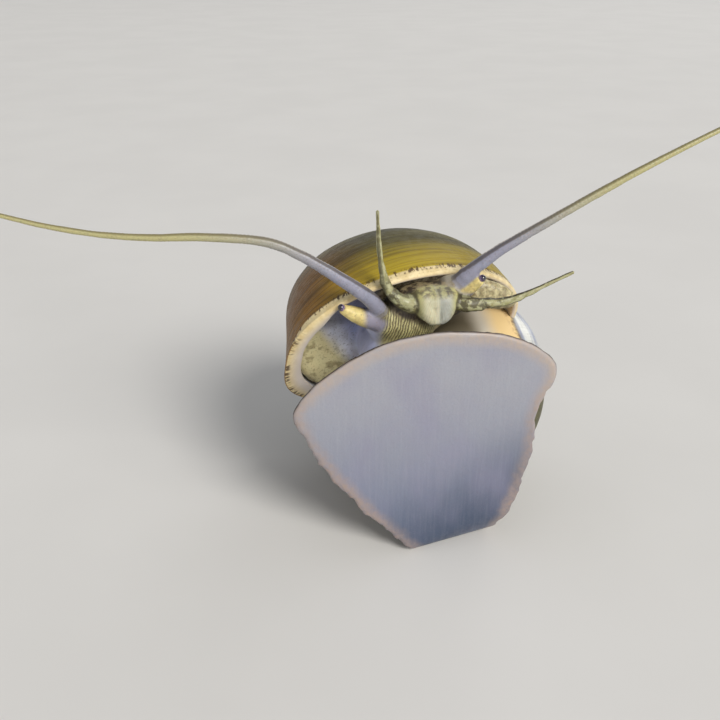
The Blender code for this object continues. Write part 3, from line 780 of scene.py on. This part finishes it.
def exposed_arc():
    """Range of places on the oval that the whorl before doesn't cover, from base to suture."""
    v = np.radians(np.arange(0.0, 360.0, 0.25))
    radius, height = oval(v, 1.0)
    older = 1.0 / WHORL_GROWTH
    flat = (height + OVAL_BELOW_APEX * older) / (OVAL_ALONG * older)
    reach = np.sqrt(np.clip(1.0 - flat * flat, 0.0, 1.0))
    outer = (OVAL_FROM_AXIS + OVAL_ACROSS * reach + OVAL_LEAN * flat) * older
    inner = (OVAL_FROM_AXIS - OVAL_ACROSS * reach ** OVAL_INNER_FULLNESS + OVAL_LEAN * flat) * older
    hidden = (np.abs(flat) < 1.0) & (radius < outer) & (radius > inner)
    spots = np.degrees(v)[hidden]
    spots = spots[spots > 45.0]
    base = math.radians(spots.max() - 360.0 - BASE_OVERLAP_DEG)
    return base, math.radians(spots.min() + SUTURE_OVERLAP_DEG)


def growth_relief(turn, v, rng):
    """Growth lines in millimetres: fine ribs along the lip's direction and a few deeper stops."""
    relief = np.zeros_like(turn)
    for _ in range(GROWTH_LINES):
        at = rng.uniform(-1000.0, -4.0)
        wide = rng.uniform(0.35, 1.1)
        deep = rng.uniform(0.01, 0.05) * (2.4 if rng.random() < 0.09 else 1.0)
        bend = rng.uniform(-1.5, 1.5)
        centre = at + bend * np.sin(v * 1.5)
        relief -= deep * np.exp(-((turn - centre) / wide) ** 2)
    return relief


def shell_sheet():
    """Outer face of the shell as a grid of turns by places on the oval, with its worn and glazed places."""
    v_base, v_top = exposed_arc()
    turns = [0.0]
    while turns[-1] > FIRST_TURN_DEG:
        size = WHORL_GROWTH ** (turns[-1] / 360.0)
        turns.append(turns[-1] - (0.5 + 1.6 * (1.0 - size)))
    turns = np.array(turns[::-1])
    v = v_base + (v_top - v_base) * np.linspace(0.0, 1.0, SHELL_COLUMNS)
    turn, v_grid = np.meshgrid(turns, v, indexing="ij")
    growth = WHORL_GROWTH ** (turn / 360.0)
    outer = shell_place(turn, *oval(v_grid, growth))
    normal = np.cross(np.gradient(outer, axis=1), np.gradient(outer, axis=0))
    normal /= np.maximum(np.linalg.norm(normal, axis=2), 1e-9)[:, :, None]
    middle = shell_place(turn, OVAL_FROM_AXIS * growth, -OVAL_BELOW_APEX * growth)
    if ((outer - middle) * normal).sum(axis=2).mean() < 0:
        normal = -normal

    def rough(scale, seed, layers):
        return layered_noise(outer.reshape(-1, 3), scale, seed, layers).reshape(turn.shape)

    v_deg = np.degrees(v_grid)
    lumps = rough(9.0, 3, 2)
    patchy = rough(5.0, 41, 3)
    pits = np.minimum(rough(1.7, 77, 3) + 0.25, 0.0)
    shoulder = smooth_step(-turn, 312.0, 350.0) * smooth_step(v_deg + 5.0 * patchy, 22.0, 30.0)
    worn = np.maximum(shoulder, smooth_step(-turn + 14.0 * patchy, 385.0, 430.0))
    glaze = smooth_step(-turn + 3.0 * patchy, 333.0, 343.0) * (1.0 - smooth_step(-turn, 396.0, 412.0))
    glaze = glaze * (1.0 - smooth_step(v_deg + 3.0 * patchy, 20.0, 26.0))
    size = np.minimum(growth, 1.0)
    relief = growth_relief(turn, v_grid, np.random.default_rng(7))
    relief = relief * (0.4 + 0.6 * size) * (1.0 - 0.9 * glaze) + 0.10 * lumps * size
    relief = relief + (0.20 * pits + 0.05 * patchy) * worn * size ** 0.5 + 0.05 * glaze
    return outer + normal * relief[:, :, None], turns, v, worn, glaze


def lip_rows(v):
    """Turn and inset of the rows that lead from the lip's outer edge over its rim and back inside."""
    v_deg = np.degrees(v)
    left = smooth_step(v_deg, -150.0, -115.0) * (1.0 - smooth_step(v_deg, -62.0, -40.0))
    lip_wall = LIP_WALL + (LIP_WALL_LEFT - LIP_WALL) * left
    rows = []
    for k in range(1, LIP_ROWS):
        angle = math.pi * k / LIP_ROWS
        rows.append((LIP_AHEAD * math.sin(angle), lip_wall * 0.5 * (1.0 - math.cos(angle))))
    back = 0.0
    while back > CAVITY_DEG:
        rows.append((back, lip_wall - (lip_wall - SHELL_WALL) * float(smooth_step(-back, 2.0, 9.5))))
        back -= 0.8 - back * 0.03
    return np.array([turn for turn, _ in rows]), np.array([inset for _, inset in rows])


def build_shell():
    outer, turns, v, worn, glaze = shell_sheet()
    inner_turns, insets = lip_rows(v)
    turn, v_grid = np.meshgrid(inner_turns, v, indexing="ij")
    inner = shell_place(turn, *oval(v_grid, WHORL_GROWTH ** (turn / 360.0), insets))
    points = np.vstack([outer.reshape(-1, 3), inner.reshape(-1, 3)])
    points[:, 2] = np.maximum(points[:, 2], 0.0)
    rows = len(turns) + len(inner_turns)
    ids = np.arange(rows * SHELL_COLUMNS).reshape(rows, SHELL_COLUMNS)
    quads = np.stack([ids[:-1, :-1], ids[1:, :-1], ids[1:, 1:], ids[:-1, 1:]], axis=-1).reshape(-1, 4)
    tip = points[:SHELL_COLUMNS].mean(axis=0)
    fans = np.stack([ids[0, 1:], ids[0, :-1], np.full(SHELL_COLUMNS - 1, ids.size)], axis=1)
    bead, bead_quads, bead_fans = unit_ball(10, 16)
    bead = bead * APEX_BEAD + (SHELL_APEX - APEX_BEAD_BELOW * shell_axes()[2])
    shell = new_mesh("snail_shell", np.vstack([points, tip, bead]),
                     np.vstack([quads, bead_quads + ids.size + 1]),
                     np.vstack([fans, bead_fans + ids.size + 1]))

    # Values for the material: by row, by place on the oval, and by vertex of the outer face.
    outside = np.zeros(len(turns))
    by_row = {
        "growth": np.append(turns, -np.abs(inner_turns)),
        "inside": np.append(outside, np.clip(np.arange(len(inner_turns)) / (LIP_ROWS - 1), 0.0, 1.0)),
        "depth": np.append(outside, np.maximum(-inner_turns, 0.0)),
    }
    values = {name: np.repeat(value, SHELL_COLUMNS) for name, value in by_row.items()}
    values["profile"] = np.tile(np.degrees(v), rows)
    values["worn"] = np.append(worn, np.zeros(inner.size // 3))
    values["glaze"] = np.append(glaze, np.zeros(inner.size // 3))
    apex = {"growth": FIRST_TURN_DEG, "worn": 1.0}
    ends = np.ones(1 + len(bead))
    set_values(shell, {name: np.append(value, ends * apex.get(name, 0.0)) for name, value in values.items()})
    return shell


def build_lid():
    """Thin horny plate, drawn as rings from the middle of its front over the edge to its back."""
    turn = math.radians(LID_TURN_DEG)
    long_way = np.array((-math.sin(turn), -LID_LEAN, math.cos(turn)))
    long_way /= np.linalg.norm(long_way)
    wide_way = np.array((math.cos(turn), 0.0, math.sin(turn)))
    normal = np.cross(long_way, wide_way)
    angle = TAU * np.arange(LID_SIDES) / LID_SIDES
    size = np.concatenate([np.linspace(0.02, 1.0, LID_RINGS), [1.0], np.linspace(0.985, 0.02, LID_RINGS)])
    rows = len(size)
    face = np.where(np.arange(rows) < LID_RINGS, 1.0, -1.0)[:, None]
    ring = size[:, None]
    along = np.sin(angle) * LID_HALF_LENGTH * ring
    across = np.cos(angle) * LID_HALF_WIDTH * (1.0 - 0.10 * np.sin(angle)) * ring - (1.0 - ring) * 2.6
    ridge = 0.035 * np.sin(ring * 60.0) + 0.03 * np.sin(ring * 23.0 + 0.5 * np.sin(angle * 2))
    lift = face * (LID_THICK * 0.5 * (1.0 - 0.55 * ring ** 6) - 0.05 + ridge) - 0.25 * (1.0 - ring * ring)
    points = (np.array(LID_CENTRE) + along[..., None] * long_way + across[..., None] * wide_way
              + lift[..., None] * normal)
    points = np.vstack([points.reshape(-1, 3), points[0].mean(axis=0), points[-1].mean(axis=0)])
    lid = new_mesh("snail_lid", points, *close_rings(rows, LID_SIDES))
    set_values(lid, {"ring": np.append(np.repeat(size, LID_SIDES), (0.0, 0.0))})
    return lid


def build_eye(name, centre, look_way):
    """Round eye, slightly flatter behind, whose clear front looks along look_way."""
    unit, quads, fans = unit_ball(40, 56)
    turn = np.array(Vector(look_way).normalized().to_track_quat("Z", "Y").to_matrix())
    front = unit[:, 2]
    bulge = EYE_RADIUS * (0.98 + 0.02 * front)
    eye = new_mesh(name, (unit * bulge[:, None]) @ turn.T + np.array(centre), quads, fans)
    set_values(eye, {"front": front})
    return eye


# Materials.

def rgb(red, green, blue):
    """Colour from 0-255 display values to the linear values that shaders take."""
    def line(c):
        c = c / 255.0
        return c / 12.92 if c <= 0.04045 else ((c + 0.055) / 1.055) ** 2.4
    return (line(red), line(green), line(blue), 1.0)


class Value:
    """Output of a node, which can be added, multiplied and used as a share."""

    def __init__(self, look, socket):
        self.look = look
        self.socket = socket

    def __add__(self, other):
        return self.look.math("ADD", self, other)

    def __sub__(self, other):
        return self.look.math("SUBTRACT", self, other)

    def __rsub__(self, other):
        return self.look.math("SUBTRACT", other, self)

    def __mul__(self, other):
        return self.look.math("MULTIPLY", self, other)

    def __abs__(self):
        return self.look.math("ABSOLUTE", self)

    def most(self, other):
        return self.look.math("MAXIMUM", self, other)

    def least(self, other):
        return self.look.math("MINIMUM", self, other)

    def span(self, low, high, to_low=0.0, to_high=1.0):
        """Smooth step from to_low at low to to_high at high."""
        ends = {"From Min": low, "From Max": high, "To Min": to_low, "To Max": to_high}
        return self.look.made("ShaderNodeMapRange", {"Value": self, **ends}, interpolation_type="SMOOTHSTEP")

    def mix(self, a, b):
        """Colour a where this share is 0 and b where it is 1."""
        a, b = [rgb(*c) if isinstance(c, tuple) and len(c) == 3 else c for c in (a, b)]
        return self.look.made("ShaderNodeMix", {"Factor": self, "A": a, "B": b}, "Result", data_type="RGBA")


class Look:
    """Short calls for building the nodes of a material or of the world."""

    def __init__(self, name, kind="materials", shader="Principled BSDF"):
        self.owner = getattr(bpy.data, kind).new(name)
        self.owner.use_nodes = True
        self.tree = self.owner.node_tree
        self.shader = self.tree.nodes[shader]

    def feed(self, socket, value):
        if isinstance(value, Value):
            self.tree.links.new(value.socket, socket)
        else:
            socket.default_value = value

    def made(self, kind, inputs, output=0, **settings):
        """New node with its settings and inputs, and the value of one of its outputs."""
        node = self.tree.nodes.new(kind)
        for key, value in settings.items():
            setattr(node, key, value)
        for key, value in inputs.items():
            self.feed(node.inputs[key], value)
        return Value(self, node.outputs[output])

    def value(self, name, output="Fac"):
        return self.made("ShaderNodeAttribute", {}, output, attribute_name=name)

    def place(self):
        return self.made("ShaderNodeTexCoord", {}, "Object")

    def split(self, vector):
        x = self.made("ShaderNodeSeparateXYZ", {0: vector})
        return [Value(self, output) for output in x.socket.node.outputs]

    def join(self, x, y, z):
        return self.made("ShaderNodeCombineXYZ", {0: x, 1: y, 2: z})

    def stretch(self, vector, scale):
        return self.made("ShaderNodeMapping", {"Vector": vector, "Scale": scale})

    def noise(self, vector, scale, detail=3.0, rough=0.55, warp=0.0):
        return self.made("ShaderNodeTexNoise", {"Vector": vector, "Scale": scale, "Detail": detail,
                                                "Roughness": rough, "Distortion": warp})

    def math(self, operation, a, b=0.0, clamp=False):
        return self.made("ShaderNodeMath", {0: a, 1: b}, operation=operation, use_clamp=clamp)

    def bump(self, height, strength, depth, before=None):
        inputs = {"Strength": strength, "Distance": depth, "Height": height}
        if before is not None:
            inputs["Normal"] = before
        return self.made("ShaderNodeBump", inputs)

    def finish(self, inputs):
        for key, value in inputs.items():
            self.feed(self.shader.inputs[key], value)
        return self.owner


def skin_material():
    look = Look("snail_skin")
    place = look.place()
    flow = look.value("flow", "Vector")
    share = look.value("share")
    side = look.value("side")
    broad = look.noise(place, 160.0, 3.0)
    fine = look.noise(place, 900.0, 4.0, 0.6)
    speck = look.noise(place, 2600.0, 2.0, 0.6)
    mottle = look.noise(place, 620.0, 4.0, 0.65)
    x, _, z = look.split(place)
    x_mm = x * 1000.0
    z_mm = z * 1000.0

    # Body ground: olive grey, mottled and speckled.
    now = broad.span(0.35, 0.65).mix((92, 84, 62), (140, 132, 106))
    now = speck.span(0.54, 0.66, 0.0, 0.7).mix(now, (48, 40, 30))

    # Mantle: bluish lilac on the right, pale olive with specks on the left, painted shade along its top and a
    # brown roof.
    slant = z_mm + x_mm * 1.7
    high = (slant + broad * 4.0).span(-1.0, 4.5)
    mantle = high.mix((212, 202, 156), (232, 234, 246))
    mantle = slant.span(3.0, 9.0).mix(mantle, (184, 192, 232))
    spotted = look.noise(place, 520.0, 3.0, 0.6).span(0.5, 0.64) * high.span(0.0, 1.0, 0.6, 0.12)
    mantle = spotted.mix(mantle, (126, 112, 74))
    # Painted shade: the top of the mantle is darkened under the head and the eye stalk.
    mantle = z_mm.span(41.0, 43.4, 0.0, 0.6).mix(mantle, (58, 48, 40))
    roof = mottle.span(0.42, 0.6).mix((120, 106, 80), (192, 178, 142))
    mantle = x_mm.span(-16.5, -13.5).mix(mantle, roof)
    mantle = speck.span(0.56, 0.66, 0.0, 0.35).mix(mantle, (70, 58, 40))
    now = look.value("mantle").mix(now, mantle)

    # Neck: pale yellow green with fine dark creases that fan out under the head, lilac on the left.
    drop = (z_mm - 48.0).least(0.0)
    bow = drop * drop * 0.045
    phase = x_mm + bow + mottle * 0.9
    wave = look.math("SINE", phase * (TAU / NECK_CREASE_PITCH))
    seen = z_mm.span(41.5, 43.5) * x_mm.span(-16.4, -14.6)
    crease = wave.span(-1.0, 0.3).most(1.0 - seen)
    neck = mottle.span(0.4, 0.62).mix((184, 176, 124), (150, 142, 100))
    neck = crease.mix((98, 88, 58), neck)
    neck = x_mm.span(-14.8, -16.6).mix(neck, (190, 194, 224))
    now = look.value("neck").mix(now, neck)

    # Top of the head: a dark mottled arch, and grey with specks on the right; lower on the right the dark
    # colour stays as painted shade.
    head = mottle.span(0.42, 0.6).mix((52, 42, 32), (146, 132, 100))
    right = mottle.span(0.4, 0.64).mix((180, 172, 154), (142, 130, 106))
    # The grey shows only high up; below it the head keeps its dark colour as painted shade beside the snout.
    head = (x_mm.span(-5.6, -3.4) * z_mm.span(49.6, 50.8)).mix(head, right)
    now = look.value("head").mix(now, head)

    # Painted shade: a dark patch in the hollow between the left feeler, its palp and the neck.
    painted_hollow_shade = (z_mm + x_mm * 0.49).span(40.7, 42.3, 0.0, 0.85) * x_mm.span(-6.8, -9.0)
    painted_hollow_shade = painted_hollow_shade * look.value("head").most(look.value("neck")) * z_mm.span(51.0, 49.4)
    now = painted_hollow_shade.mix(now, (46, 38, 30))

    # Siphon fold: olive grey, finely speckled, with darker arcs.
    arc_x = x_mm - SIPHON_ARCS_X
    arc_z = z_mm - SIPHON_ARCS_Z
    reach = look.math("SQRT", arc_x * arc_x + arc_z * arc_z)
    arc = look.math("SINE", reach * (TAU / SIPHON_ARC_PITCH) + fine * 2.5)
    fold = mottle.span(0.38, 0.62).mix((204, 192, 148), (158, 146, 108))
    fold = speck.span(0.5, 0.62, 0.0, 0.5).mix(fold, (104, 92, 64))
    fold = arc.span(0.35, 0.95, 0.0, 0.2).mix(fold, (96, 82, 56))
    now = look.value("siphon").mix(now, fold)

    # Eye stalk: lilac grey with a warm yellow patch towards the eye.
    patch = x_mm.span(-17.6, -19.0).most(z_mm.span(50.2, 51.4))
    stalk = broad.span(0.4, 0.6).mix((132, 128, 142), (156, 152, 154))
    warm = fine.span(0.4, 0.66).mix((216, 198, 130), (186, 168, 110))
    stalk = patch.mix(stalk, warm)
    stalk = speck.span(0.58, 0.68, 0.0, 0.4).mix(stalk, (120, 100, 70))
    now = look.value("stalk").mix(now, stalk)

    # Snout: pale yellow grey on the left and greyer on the right as painted light and shade, greener at its
    # sides, with fine creases that fan out from above, a dark mottled top and a faint painted highlight on
    # the ridge.
    out = x_mm - MOUTH_X
    down = CREASES_FROM_Z - z_mm
    rays = look.noise(look.join(look.math("ARCTAN2", out, down) * 26.0, down * 0.25, 0.0), 1.0, 3.0, 0.6)
    # Painted light and shade: the left face is lighter, the right face greyer.
    half = out.span(-0.1, 0.5).mix((192, 187, 156), (160, 161, 150))
    half = abs(out).span(1.7, 3.3).mix(half, (178, 174, 120))
    half = rays.span(0.5, 0.7, 0.0, 0.45).mix(half, (126, 122, 92))
    top = mottle.span(0.44, 0.58).mix((84, 72, 44), (190, 182, 120))
    half = z_mm.span(50.3, 51.5, 0.0, 0.7).mix(half, top)
    # Painted highlight: a faint pale line along the ridge where the lobes meet.
    half = abs(out + 0.12).span(0.3, 0.04, 0.0, 0.2).mix(half, (204, 204, 196))
    now = look.value("snout").mix(now, half)

    # Palps: pale greenish with dark lines above and below, mottled at the root, with painted shade in the
    # crease where they meet the snout.
    streak = look.noise(look.join(side * 1.2, share * 16.0, 0.0), 1.0, 4.0, 0.65)
    palp = streak.span(0.4, 0.62).mix((168, 166, 128), (136, 132, 86))
    lined = abs(side + 0.05).span(0.62, 0.86) * streak.span(0.34, 0.48, 0.2, 1.0)
    palp = (lined * x_mm.span(-6.0, -3.0, 0.6, 0.95)).mix(palp, (56, 48, 30))
    rooted = share.span(0.5, 0.3) * mottle.span(0.47, 0.57)
    palp = (rooted * 0.85).mix(palp, (70, 62, 40))
    now = look.value("palp").mix(now, palp)
    # Painted shade in the crease between each palp and the snout.
    now = (look.value("fold") * 0.75).mix(now, (60, 52, 32))

    # Long feelers: lilac grey with a dark line above, then olive yellow and speckled to the tip.
    stripe = side.span(0.25, 0.5) * side.span(0.97, 0.8)
    lilac = (stripe * 0.9).mix((138, 138, 154), (86, 80, 82))
    lilac = side.span(0.86, 0.98).mix(lilac, (166, 156, 142))
    olive = side.span(0.1, 0.75).mix((172, 166, 118), (128, 120, 80))
    feeler = share.span(0.14, 0.55).mix(lilac, olive)
    dots = look.noise(place, 3400.0, 2.0, 0.6)
    feeler = dots.span(0.54, 0.66, 0.0, 0.32).mix(feeler, (104, 94, 76))
    now = (look.value("feeler") * share.span(0.02, 0.05)).mix(now, feeler)

    # Sole: lilac grey with faint lengthwise fibres; painted shade makes it darker low down and darker and
    # bluer towards the lower right.
    across, along, _ = look.split(flow)
    fibre = look.noise(look.stretch(flow, (1.9, 0.09, 1.0)), 1.0, 4.0, 0.6, 0.15)
    cloud = look.noise(look.stretch(flow, (0.07, 0.05, 1.0)), 1.0, 2.0)
    # Painted shade: darker low down, where the sole bends back to the floor.
    sole = along.span(2.0, 40.0).mix((106, 114, 136), (152, 153, 161))
    # Painted shade: darker and bluer towards the lower right, where the sole turns away.
    sole = (across * 0.6 - along).span(-20.0, 3.0, 0.0, 0.95).mix(sole, (58, 70, 92))
    sole = cloud.span(0.38, 0.66, 0.0, 0.5).mix(sole, (132, 130, 152))
    sole = fibre.span(0.4, 0.7, 0.0, 0.05).mix(sole, (190, 192, 198))
    grain = look.noise(place, 3200.0, 2.0)
    sole = grain.span(0.5, 0.7, 0.0, 0.14).mix(sole, (120, 122, 138))
    now = look.value("sole").mix(now, sole)

    # Margin of the foot: a paler rim on the sole, and a dark edge.
    rim_share = look.value("rim") * fine.span(0.3, 0.65, 0.5, 0.9) * cloud.span(0.3, 0.6, 0.6, 1.0)
    now = rim_share.mix(now, along.span(26.0, 40.0).mix((156, 138, 128), (176, 159, 143)))
    now = (look.value("edge") * fine.span(0.3, 0.6, 0.75, 1.0)).mix(now, (44, 34, 28))

    normal = look.bump(fine, 0.3, 0.0002)
    normal = look.bump(speck, 0.25, 0.00012, normal)
    normal = look.bump(look.value("neck").mix(LEVEL, crease), 0.7, 0.0002, normal)
    normal = look.bump(look.value("snout").mix(LEVEL, rays), 0.6, 0.0003, normal)
    return look.finish({"Base Color": now, "Roughness": fine.span(0.3, 0.7, 0.40, 0.58), "Normal": normal,
                        "Subsurface Weight": 0.18, "Subsurface Radius": (1.0, 0.6, 0.45),
                        "Subsurface Scale": 0.001, "Coat Weight": 0.12, "Coat Roughness": 0.2})


def shell_material():
    look = Look("shell")
    place = look.place()
    growth, profile, inside, depth, worn, glaze = [
        look.value(name) for name in ("growth", "profile", "inside", "depth", "worn", "glaze")]
    sweep = profile * 0.012
    lines = look.noise(look.join(growth * 0.9, sweep, 0.0), 1.0, 5.0, 0.65, 0.3)
    bands = look.noise(look.join(growth * 0.11, sweep, 4.0), 1.0, 3.0, 0.5)
    broad = look.noise(place, 70.0, 3.0)
    fine = look.noise(place, 700.0, 4.0, 0.6)
    speck = look.noise(place, 1900.0, 3.0, 0.6)

    # Outer skin: olive, golden towards the lip and orange brown at the base, under a grey green film.
    olive = bands.span(0.35, 0.65).mix((66, 60, 22), (100, 91, 30))
    olive = lines.span(0.44, 0.62, 0.0, 0.6).mix(olive, (58, 48, 18))
    golden = lines.span(0.42, 0.64).mix((170, 148, 36), (142, 120, 28))
    skin = growth.span(-21.0, -4.0).mix(olive, golden)
    warm = lines.span(0.4, 0.62).mix((140, 94, 28), (92, 60, 18))
    skin = (profile.span(-12.0, -62.0) * growth.span(-70.0, -15.0, 0.35, 0.9)).mix(skin, warm)
    film = growth.span(-18.0, -60.0) * broad.span(0.32, 0.58, 0.35, 0.85)
    skin = (film * profile.span(-75.0, -25.0, 0.45, 1.0)).mix(skin, (72, 74, 54))
    algae = look.noise(place, 800.0, 5.0, 0.75).span(0.58, 0.68, 0.0, 0.5) * growth.span(-20.0, -70.0)
    skin = algae.mix(skin, (132, 134, 110))

    # Older whorls: the skin is worn off, leaving chalk and blue grey along the turns, and some rust.
    spiral = look.noise(look.join(profile * 0.07, growth * 0.012, 2.0), 1.0, 3.0, 0.6)
    chalk = spiral.span(0.4, 0.62).mix((226, 227, 222), (156, 162, 182))
    chalk = lines.span(0.5, 0.66, 0.0, 0.35).mix(chalk, (168, 166, 150))
    seam = profile.span(62.0, 74.0, 0.0, 0.75) * fine.span(0.35, 0.6)
    chalk = seam.mix(chalk, (126, 132, 92))
    chalk = speck.span(0.6, 0.72, 0.0, 0.5).mix(chalk, (120, 96, 66))
    skin = worn.mix(skin, chalk)

    # Glaze on the wall before the opening: dark low down, then grey white, peach higher up, rust on top.
    rise = profile + broad * 20.0
    peach = rise.span(-4.0, 16.0).mix((204, 196, 180), (228, 198, 142))
    peach = rise.span(-2.0, -18.0, 0.0, 0.85).mix(peach, (112, 102, 80))
    rust = profile.span(14.0, 24.0) * fine.span(0.46, 0.62)
    peach = (rust * 0.85).mix(peach, (112, 62, 40))
    skin = glaze.mix(skin, peach)

    # Lip: cream with short dark marks on its border, then the pale inner wall.
    marks = look.noise(look.join(profile * 0.75, growth * 0.35, 9.0), 1.0, 2.0, 0.7)
    outside = look.math("SUBTRACT", 1.0, inside * 14.0, clamp=True)
    low_left = profile.span(-62.0, -80.0)
    lip_from = growth - profile.span(-20.0, -60.0, -1.6, -2.6) - low_left * 2.6
    rim = lip_from.span(-0.4, 0.3).most(inside.span(0.05, 0.14))
    cream = fine.span(0.35, 0.65).mix((228, 210, 164), (210, 188, 138))
    skin = rim.mix(skin, cream)
    border = lip_from.span(-1.2, -0.5) * lip_from.span(1.6, 0.6)
    front = inside.span(0.04, 0.1) * inside.span(0.42, 0.25)
    tick = (border * outside).most(front * low_left) * marks.span(0.5, 0.56, 0.0, 0.9)
    skin = tick.mix(skin, (70, 46, 26))
    inner = depth.span(2.0, 10.0).mix((224, 214, 206), (190, 190, 196))
    inner = broad.span(0.42, 0.65, 0.0, 0.35).mix(inner, (186, 170, 142))
    skin = inside.span(0.2, 0.75).mix(skin, inner)

    rough = worn.mix(fine.span(0.3, 0.7, 0.36, 0.52), (0.66, 0.66, 0.66, 1.0))
    normal = look.bump(glaze.most(inside.span(0.1, 0.4)).mix(lines, LEVEL), 0.6, 0.00035)
    normal = look.bump(fine, 0.25, 0.0002, normal)
    return look.finish({"Base Color": skin, "Roughness": rough, "Normal": normal,
                        "Specular IOR Level": 0.3, "Coat Weight": 0.05, "Coat Roughness": 0.25})


def lid_material():
    look = Look("lid")
    place = look.place()
    ring = look.value("ring")
    lines = look.noise(look.join(ring * 60.0, 0.0, 0.0), 1.0, 3.0)
    base = lines.span(0.38, 0.62).mix((84, 46, 20), (134, 84, 40))
    base = ring.span(0.86, 1.0, 0.0, 0.6).mix(base, (176, 128, 74))
    base = look.noise(place, 500.0, 4.0).span(0.5, 0.7, 0.0, 0.5).mix(base, (52, 28, 14))
    return look.finish({"Base Color": base, "Roughness": lines.span(0.3, 0.7, 0.38, 0.6),
                        "Normal": look.bump(lines, 0.5, 0.0003)})


def eye_material():
    look = Look("eye")
    front = look.value("front")
    ring = front.span(-0.2, 0.3).mix((150, 130, 160), (66, 46, 84))
    ring = front.span(0.35, 0.7).mix(ring, (16, 10, 20))
    ring = look.noise(look.place(), 2600.0, 3.0).span(0.5, 0.66, 0.0, 0.3).mix(ring, (150, 128, 150))
    return look.finish({"Base Color": ring, "Roughness": front.span(0.2, 0.7, 0.3, 0.12),
                        "Coat Weight": 1.0, "Coat Roughness": 0.05})


def floor_material():
    """Pale floor that fades into the backdrop's light far from the model, so no horizon shows."""
    look = Look("floor")
    place = look.place()
    tone = look.noise(place, 18.0, 3.0).span(0.3, 0.7).mix((213, 211, 207), (216, 214, 210))
    look.finish({"Base Color": tone, "Roughness": 0.8, "Specular IOR Level": 0.2})
    away = look.made("ShaderNodeVectorMath", {0: place}, "Value", operation="LENGTH")
    glow = look.made("ShaderNodeEmission", {"Color": BACKDROP_COLOUR})
    blend = look.made("ShaderNodeMixShader", {"Fac": away.span(0.9, 5.0), 2: glow,
                                              1: Value(look, look.shader.outputs["BSDF"])})
    look.feed(look.tree.nodes["Material Output"].inputs["Surface"], blend)
    return look.owner


def dress(piece, material, slot, *nodes):
    piece.data.materials.clear()
    piece.data.materials.append(material)
    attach(piece, "root")
    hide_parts(*nodes)


def add_object(name, data, place, target=None):
    """New object in the scene, turned so that it faces the target."""
    made = bpy.data.objects.new(name, data)
    made.location = place
    if target is not None:
        made.rotation_euler = (Vector(target) - Vector(place)).to_track_quat("-Z", "Y").to_euler()
    bpy.context.scene.collection.objects.link(made)
    return made


def build_floor():
    half = FLOOR_HALF
    mesh = bpy.data.meshes.new("floor")
    mesh.from_pydata([(-half, -half, 0), (half, -half, 0), (half, half, 0), (-half, half, 0)], [],
                     [(0, 1, 2, 3)])
    mesh.materials.append(floor_material())
    floor = add_object("floor", mesh, (0.0, 0.0, -FLOOR_BELOW))


def build_world():
    """Even pale light that is a little darker overhead."""
    look = Look("studio", "worlds", "Background")
    _, _, z = look.split(look.made("ShaderNodeTexCoord", {}, "Generated"))
    bpy.context.scene.world = look.finish({"Color": z.span(0.0, 0.5).mix(BACKDROP_COLOUR, OVERHEAD_COLOUR)})
    bpy.context.scene.view_settings.view_transform = "Standard"


def build_lights():
    for name, kind, place, size, power, tint in LIGHTS:
        data = bpy.data.lights.new(name, kind)
        if kind == "SUN":
            data.angle = size
        else:
            data.shape = "DISK"
            data.size = size
        data.energy = power
        data.color = tint
        add_object(name, data, place, LIGHT_TARGET)


def build_camera():
    data = bpy.data.cameras.new("camera")
    data.sensor_width = SENSOR_WIDTH
    data.lens = CAMERA_LENS
    data.clip_start = 0.005
    data.clip_end = 200.0
    camera = add_object("camera", data, [c * MM for c in CAMERA_AT])
    camera.rotation_euler = (math.radians(90.0 - CAMERA_DOWN_DEG), 0.0, math.radians(CAMERA_TURN_DEG))
    bpy.context.scene.camera = camera


def main():
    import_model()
    flesh = ("foot_front", "foot_middle", "foot_tail", "mantle", "neck", "head", "snout", "siphon_lobe",
             "palp_left", "palp_right", "eye_stalk_left", "eye_stalk_right",
             "tentacle_left_base", "tentacle_left_middle", "tentacle_left_tip",
             "tentacle_right_base", "tentacle_right_middle", "tentacle_right_tip")
    dress(build_skin(), skin_material(), "sole_grey", *flesh)
    dress(build_shell(), shell_material(), "shell_olive", "shell")
    dress(build_lid(), lid_material(), "lid_brown", "operculum")
    eyes = eye_material()
    dress(build_eye("snail_eye_left", EYE_LEFT, (-0.75, -0.5, 0.45)), eyes, "eye_dark", "eye_left")
    dress(build_eye("snail_eye_right", EYE_RIGHT, (0.6, -0.6, 0.5)), eyes, "eye_dark", "eye_right")
    build_floor()
    build_world()
    build_lights()
    build_camera()


main()
